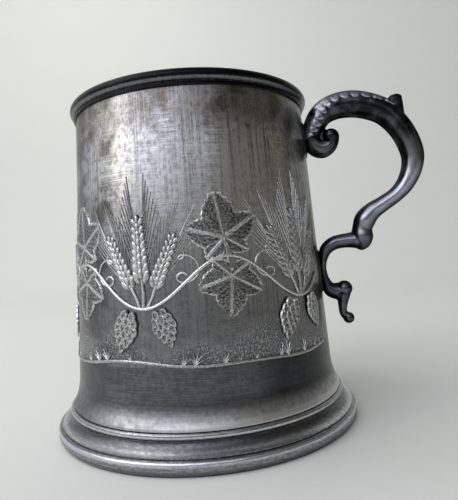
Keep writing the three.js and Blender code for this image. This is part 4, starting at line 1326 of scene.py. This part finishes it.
def closed_grid(steps, sides):
    """Faces of a top and a bottom grid of points, joined round their edges."""
    under = steps * sides
    faces = []
    for i in range(steps - 1):
        for j in range(sides - 1):
            a, b = i * sides + j, (i + 1) * sides + j
            faces.append((a, a + 1, b + 1, b))
            faces.append((under + a, under + b, under + b + 1, under + a + 1))
    edge = list(range(sides)) + [i * sides + sides - 1 for i in range(1, steps)]
    edge += [(steps - 1) * sides + j for j in range(sides - 2, -1, -1)]
    edge += [i * sides for i in range(steps - 2, 0, -1)]
    for a, b in zip(edge, edge[1:] + edge[:1]):
        faces.append((b, a, under + a, under + b))
    return faces


class TANKARD_OT_leaf(bpy.types.Operator):
    """Lay the acanthus leaf over the top of the handle's loop"""

    bl_idname = "tankard.leaf"
    bl_label = "Handle leaf"

    lobes: bpy.props.IntProperty(name="Lobes", description="Lobes on each side of the leaf", default=13)

    def execute(self, context):
        sizes, colours = tankard_settings(context)
        # The loop's stations at the leaf's root and tip, where its hem starts, and how far its lobes sweep
        root, tip, hem, sweep = 3.6, 10.5, 0.985, 0.035
        steps, sides = 12 * self.lobes + 1, 41
        share = np.linspace(0, 1, steps)
        centres, outward, thick, wide = sections(loop_rows(sizes), root + (tip - root) * share)
        across = np.linspace(-1, 1, sides)
        far = np.abs(across)[None, :]
        # Lobes sweep towards the leaf's tip as they leave the rib
        lobe = (self.lobes * (share[:, None] - sweep * far)) % 1
        notch = np.exp(-((np.minimum(lobe, 1 - lobe) / 0.16) ** 2))
        edge_lobe = (self.lobes * (share - sweep)) % 1
        # The leaf wraps past the middle of the sides by the volute and narrows towards the spur
        places, degrees = (0, 0.07, 0.18, 0.34, 0.55, 0.8, 0.93, 1), (18, 105, 138, 122, 84, 66, 50, 8)
        cover = np.interp(share, places, degrees)
        spread = np.radians(cover) * (0.8 + 0.2 * np.sin(np.pi * edge_lobe) ** 0.55)
        angle = across[None, :] * spread[:, None]
        rib = np.exp(-((across / 0.07) ** 2))[None, :]
        rim = np.exp(-(((1 - far) - 0.12) ** 2) / 0.01)
        height = 0.36 + 0.22 * rib + 0.06 * rim - 0.34 * notch * far**3
        height = np.where(far > hem, -0.5, height) * MM
        # Its top side, then its under side, which is sunk in the loop
        shells = []
        for half_thick, half_wide in (
            (thick[:, None] + height, wide[:, None] + height),
            (0.7 * thick[:, None], 0.7 * wide[:, None]),
        ):
            lift = (half_thick * np.cos(angle))[..., None] * outward[:, None, :]
            side = (half_wide * np.sin(angle))[..., None] * np.array([0, 1.0, 0])
            shells.append((centres[:, None, :] + lift + side).reshape(-1, 3))
        # The leaf is drawn lighter than the handle, partly painted sheen, and darker in its notches as
        # painted shade
        wear = np.clip(0.3 + 0.15 * rib + 0.15 * rim - 0.8 * notch * far**3, -0.4, 1)
        wear = np.where(far > hem, 0, wear).ravel()
        wear = np.concatenate([wear, np.zeros(len(wear))])
        leaf = outward_faces(new_object("handle_leaf", np.vstack(shells), closed_grid(steps, sides), wear))
        leaf.data.materials.append(shared("pewter_cast_worn", casting_material, colours, 0.25))
        finished(leaf, sharp=math.radians(75))
        return {"FINISHED"}


class TANKARD_OT_solder(bpy.types.Operator):
    """Run solder round the handle's two joints with the wall"""

    bl_idname = "tankard.solder"
    bl_label = "Handle solder"

    def execute(self, context):
        sizes, colours = tankard_settings(context)
        # A squarish run with a ragged edge, thickest in its middle
        t = np.linspace(0, 2 * np.pi, 64, endpoint=False)
        ragged = 1 + 0.03 * np.sin(5 * t + 1) + 0.02 * np.sin(11 * t)
        circle = np.column_stack([np.cos(t), np.sin(t)])
        square = np.abs(circle) ** 0.72 * np.sign(circle)
        shares = np.array([0.3, 0.55, 0.75, 0.88, 0.96, 1.0])
        heights = np.array([0.8, 0.75, 0.6, 0.4, 0.2, -0.25]) * MM
        room_inside = 0.92
        for name, node in (("upper_joint", "upper_solder"), ("lower_joint", "lower_solder")):
            low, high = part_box(node)
            half_wide, half_high = (high.y - low.y) / 2, (high.z - low.z) / 2
            outline = square * ragged[:, None] * np.array([half_wide, half_high]) * room_inside
            points, faces, _ = relief_patch(outline, (0, 0), shares, heights, np.zeros(len(shares)))
            z = (low.z + high.z) / 2 + points[:, 1]
            radius = drum_radius(sizes, z) + points[:, 2]
            angle = points[:, 0] / drum_radius(sizes, z)
            wrapped = np.column_stack([AXIS_X + radius * np.cos(angle), radius * np.sin(angle), z])
            run = outward_faces(new_object(name, wrapped, faces))
            run.data.materials.append(shared("tin_solder_wiped", solder_material, colours))
            finished(run, [node])
        return {"FINISHED"}


class TANKARD_OT_stage(bpy.types.Operator):
    """Set the pale board, the window light, the room and the camera"""

    bl_idname = "tankard.stage"
    bl_label = "Stage"

    def execute(self, context):
        self.board(context.scene.tankard_colours)
        self.lights()
        self.room(context.scene)
        self.camera(context.scene)
        context.scene.view_settings.view_transform = "Standard"
        return {"FINISHED"}

    @staticmethod
    def board(colours):
        """A board that runs back from the tankard and curves up behind it."""
        front, bend_start, bend_radius, top, half_width = -1.2, 0.45, 0.3, 1.3, 1.5
        line = [(front, 0.0)]
        for a in np.linspace(0, math.pi / 2, 25):
            line.append((bend_start + bend_radius * math.sin(a), bend_radius - bend_radius * math.cos(a)))
        line.append((bend_start + bend_radius, top))
        points = [(x, y, z) for y, z in line for x in (-half_width, half_width)]
        faces = [(2 * i, 2 * i + 1, 2 * i + 3, 2 * i + 2) for i in range(len(line) - 1)]
        board = new_object("board", points, faces)
        board.data.shade_smooth()
        board.data.materials.append(shared("board_painted_matt", board_material, colours))

    @staticmethod
    def seen(left, rise, distance):
        """A place round the tankard, by degrees left of the camera's side and degrees up from its middle."""
        turn, tilt = math.radians(CAMERA_SWING - 90 - left), math.radians(rise)
        way = Vector((math.cos(turn) * math.cos(tilt), math.sin(turn) * math.cos(tilt), math.sin(tilt)))
        return MIDDLE + distance * way

    def lights(self):
        """A tall window and a broad high light on the left, sky before them, and a wash on the board."""
        board = Vector((-0.75, 0.75, 0.6))
        # Place, aim, width and height in metres, power in watts, and tint
        for name, place, aim, width, height, power, tint in (
            ("window", self.seen(70, 27, 0.65), MIDDLE, 0.13, 0.5, 0.44, "#fffaf0"),
            ("skylight", self.seen(38, 34, 0.75), MIDDLE, 0.6, 0.36, 0.9, "#e6e8ff"),
            ("sky_edge", self.seen(20, 34, 0.75), MIDDLE, 1.1, 0.36, 0.9, "#e9ebfb"),
            ("ceiling", self.seen(80, 46, 1.0), MIDDLE, 1.0, 1.0, 2.6, "#fffffa"),
            ("board_wash", Vector((-0.5, 0.0, 0.9)), board, 0.6, 0.4, 2.3, "#fffffa"),
        ):
            lamp = bpy.data.lights.new(name, "AREA")
            lamp.shape = "RECTANGLE"
            lamp.size, lamp.size_y = width, height
            lamp.energy = power
            lamp.color = linear(tint)[:3]
            holder = bpy.data.objects.new(name, lamp)
            facing = (aim - place).to_track_quat("-Z", "Y").to_matrix().to_4x4()
            holder.matrix_world = Matrix.Translation(place) @ facing
            bpy.context.scene.collection.objects.link(holder)

    @staticmethod
    def room(scene):
        """The room: pale on the window's side and overhead, dim on the other side."""
        world = bpy.data.worlds.new("room")
        scene.world = world
        world.use_nodes = True
        tree = world.node_tree
        tree.nodes.clear()
        way = add_node(tree, "ShaderNodeTexCoord").outputs["Generated"]
        left = add_node(tree, "ShaderNodeVectorMath", [way, (-0.93, 0.1, 0.35)], operation="DOT_PRODUCT")
        side = left.outputs["Value"]
        glow = add_node(tree, "ShaderNodeMapRange", [side, -0.6, 0.95, 0.24, 0.72], **SOFT)
        cool = add_node(tree, "ShaderNodeMapRange", [side, -0.6, 0.5, 0, 1])
        tint = add_node(tree, "ShaderNodeMix", [cool, linear("#cbc7b8"), linear("#eef2fb")], data_type="RGBA")
        light = add_node(tree, "ShaderNodeBackground", {"Color": tint, "Strength": glow})
        add_node(tree, "ShaderNodeOutputWorld", [light])

    @staticmethod
    def camera(scene):
        """The camera stands close before the drum, a little towards the handle's side."""
        # Distance from the axis, height, focal length in pixels, and the axes of the tilted frame
        distance, level, focal = 178.285 * MM, 59.155 * MM, 466.9
        swing = Matrix.Rotation(math.radians(CAMERA_SWING), 3, "Z")
        right = swing @ Vector((0.99556, -0.06280, -0.07017))
        up = swing @ Vector((0.06964, -0.01063, 0.99752))
        ahead = swing @ Vector((0.06339, 0.99797, 0.00621))
        place = swing @ Vector((0, -distance, 0)) + Vector((AXIS_X, 0, level))
        lens = bpy.data.cameras.new("camera")
        lens.sensor_width = 36
        lens.lens = focal / max(PHOTO_SIZE) * lens.sensor_width
        lens.clip_start, lens.clip_end = 0.01, 20
        holder = bpy.data.objects.new("camera", lens)
        turn = Matrix((right, up, -ahead)).transposed().to_4x4()
        holder.matrix_world = Matrix.Translation(place) @ turn
        scene.collection.objects.link(holder)
        scene.camera = holder


STEPS = (
    TANKARD_OT_drum,
    TANKARD_OT_mouldings,
    TANKARD_OT_floor,
    TANKARD_OT_frieze,
    TANKARD_OT_handle,
    TANKARD_OT_leaf,
    TANKARD_OT_solder,
    TANKARD_OT_stage,
)


class TANKARD_PT_panel(bpy.types.Panel):
    """Lists the tankard's sizes, colours and building steps"""

    bl_idname = "TANKARD_PT_panel"
    bl_label = "Pewter Tankard"
    bl_space_type = "VIEW_3D"
    bl_region_type = "UI"
    bl_category = "Tankard"

    def draw(self, context):
        for group in (context.scene.tankard_sizes, context.scene.tankard_colours):
            box = self.layout.box()
            for name in group.__annotations__:
                box.prop(group, name)
        for step in STEPS:
            self.layout.operator(step.bl_idname)


CLASSES = (TankardSizes, TankardColours, *STEPS, TANKARD_PT_panel)


def register():
    for made in CLASSES:
        bpy.utils.register_class(made)
    bpy.types.Scene.tankard_sizes = bpy.props.PointerProperty(type=TankardSizes)
    bpy.types.Scene.tankard_colours = bpy.props.PointerProperty(type=TankardColours)


def unregister():
    del bpy.types.Scene.tankard_colours
    del bpy.types.Scene.tankard_sizes
    for made in reversed(CLASSES):
        bpy.utils.unregister_class(made)


def main():
    register()
    bpy.ops.tankard.drum()
    bpy.ops.tankard.mouldings()
    bpy.ops.tankard.floor()
    bpy.ops.tankard.frieze()
    bpy.ops.tankard.handle()
    bpy.ops.tankard.leaf()
    bpy.ops.tankard.solder()
    bpy.ops.tankard.stage()


if __name__ == "__main__":
    main()
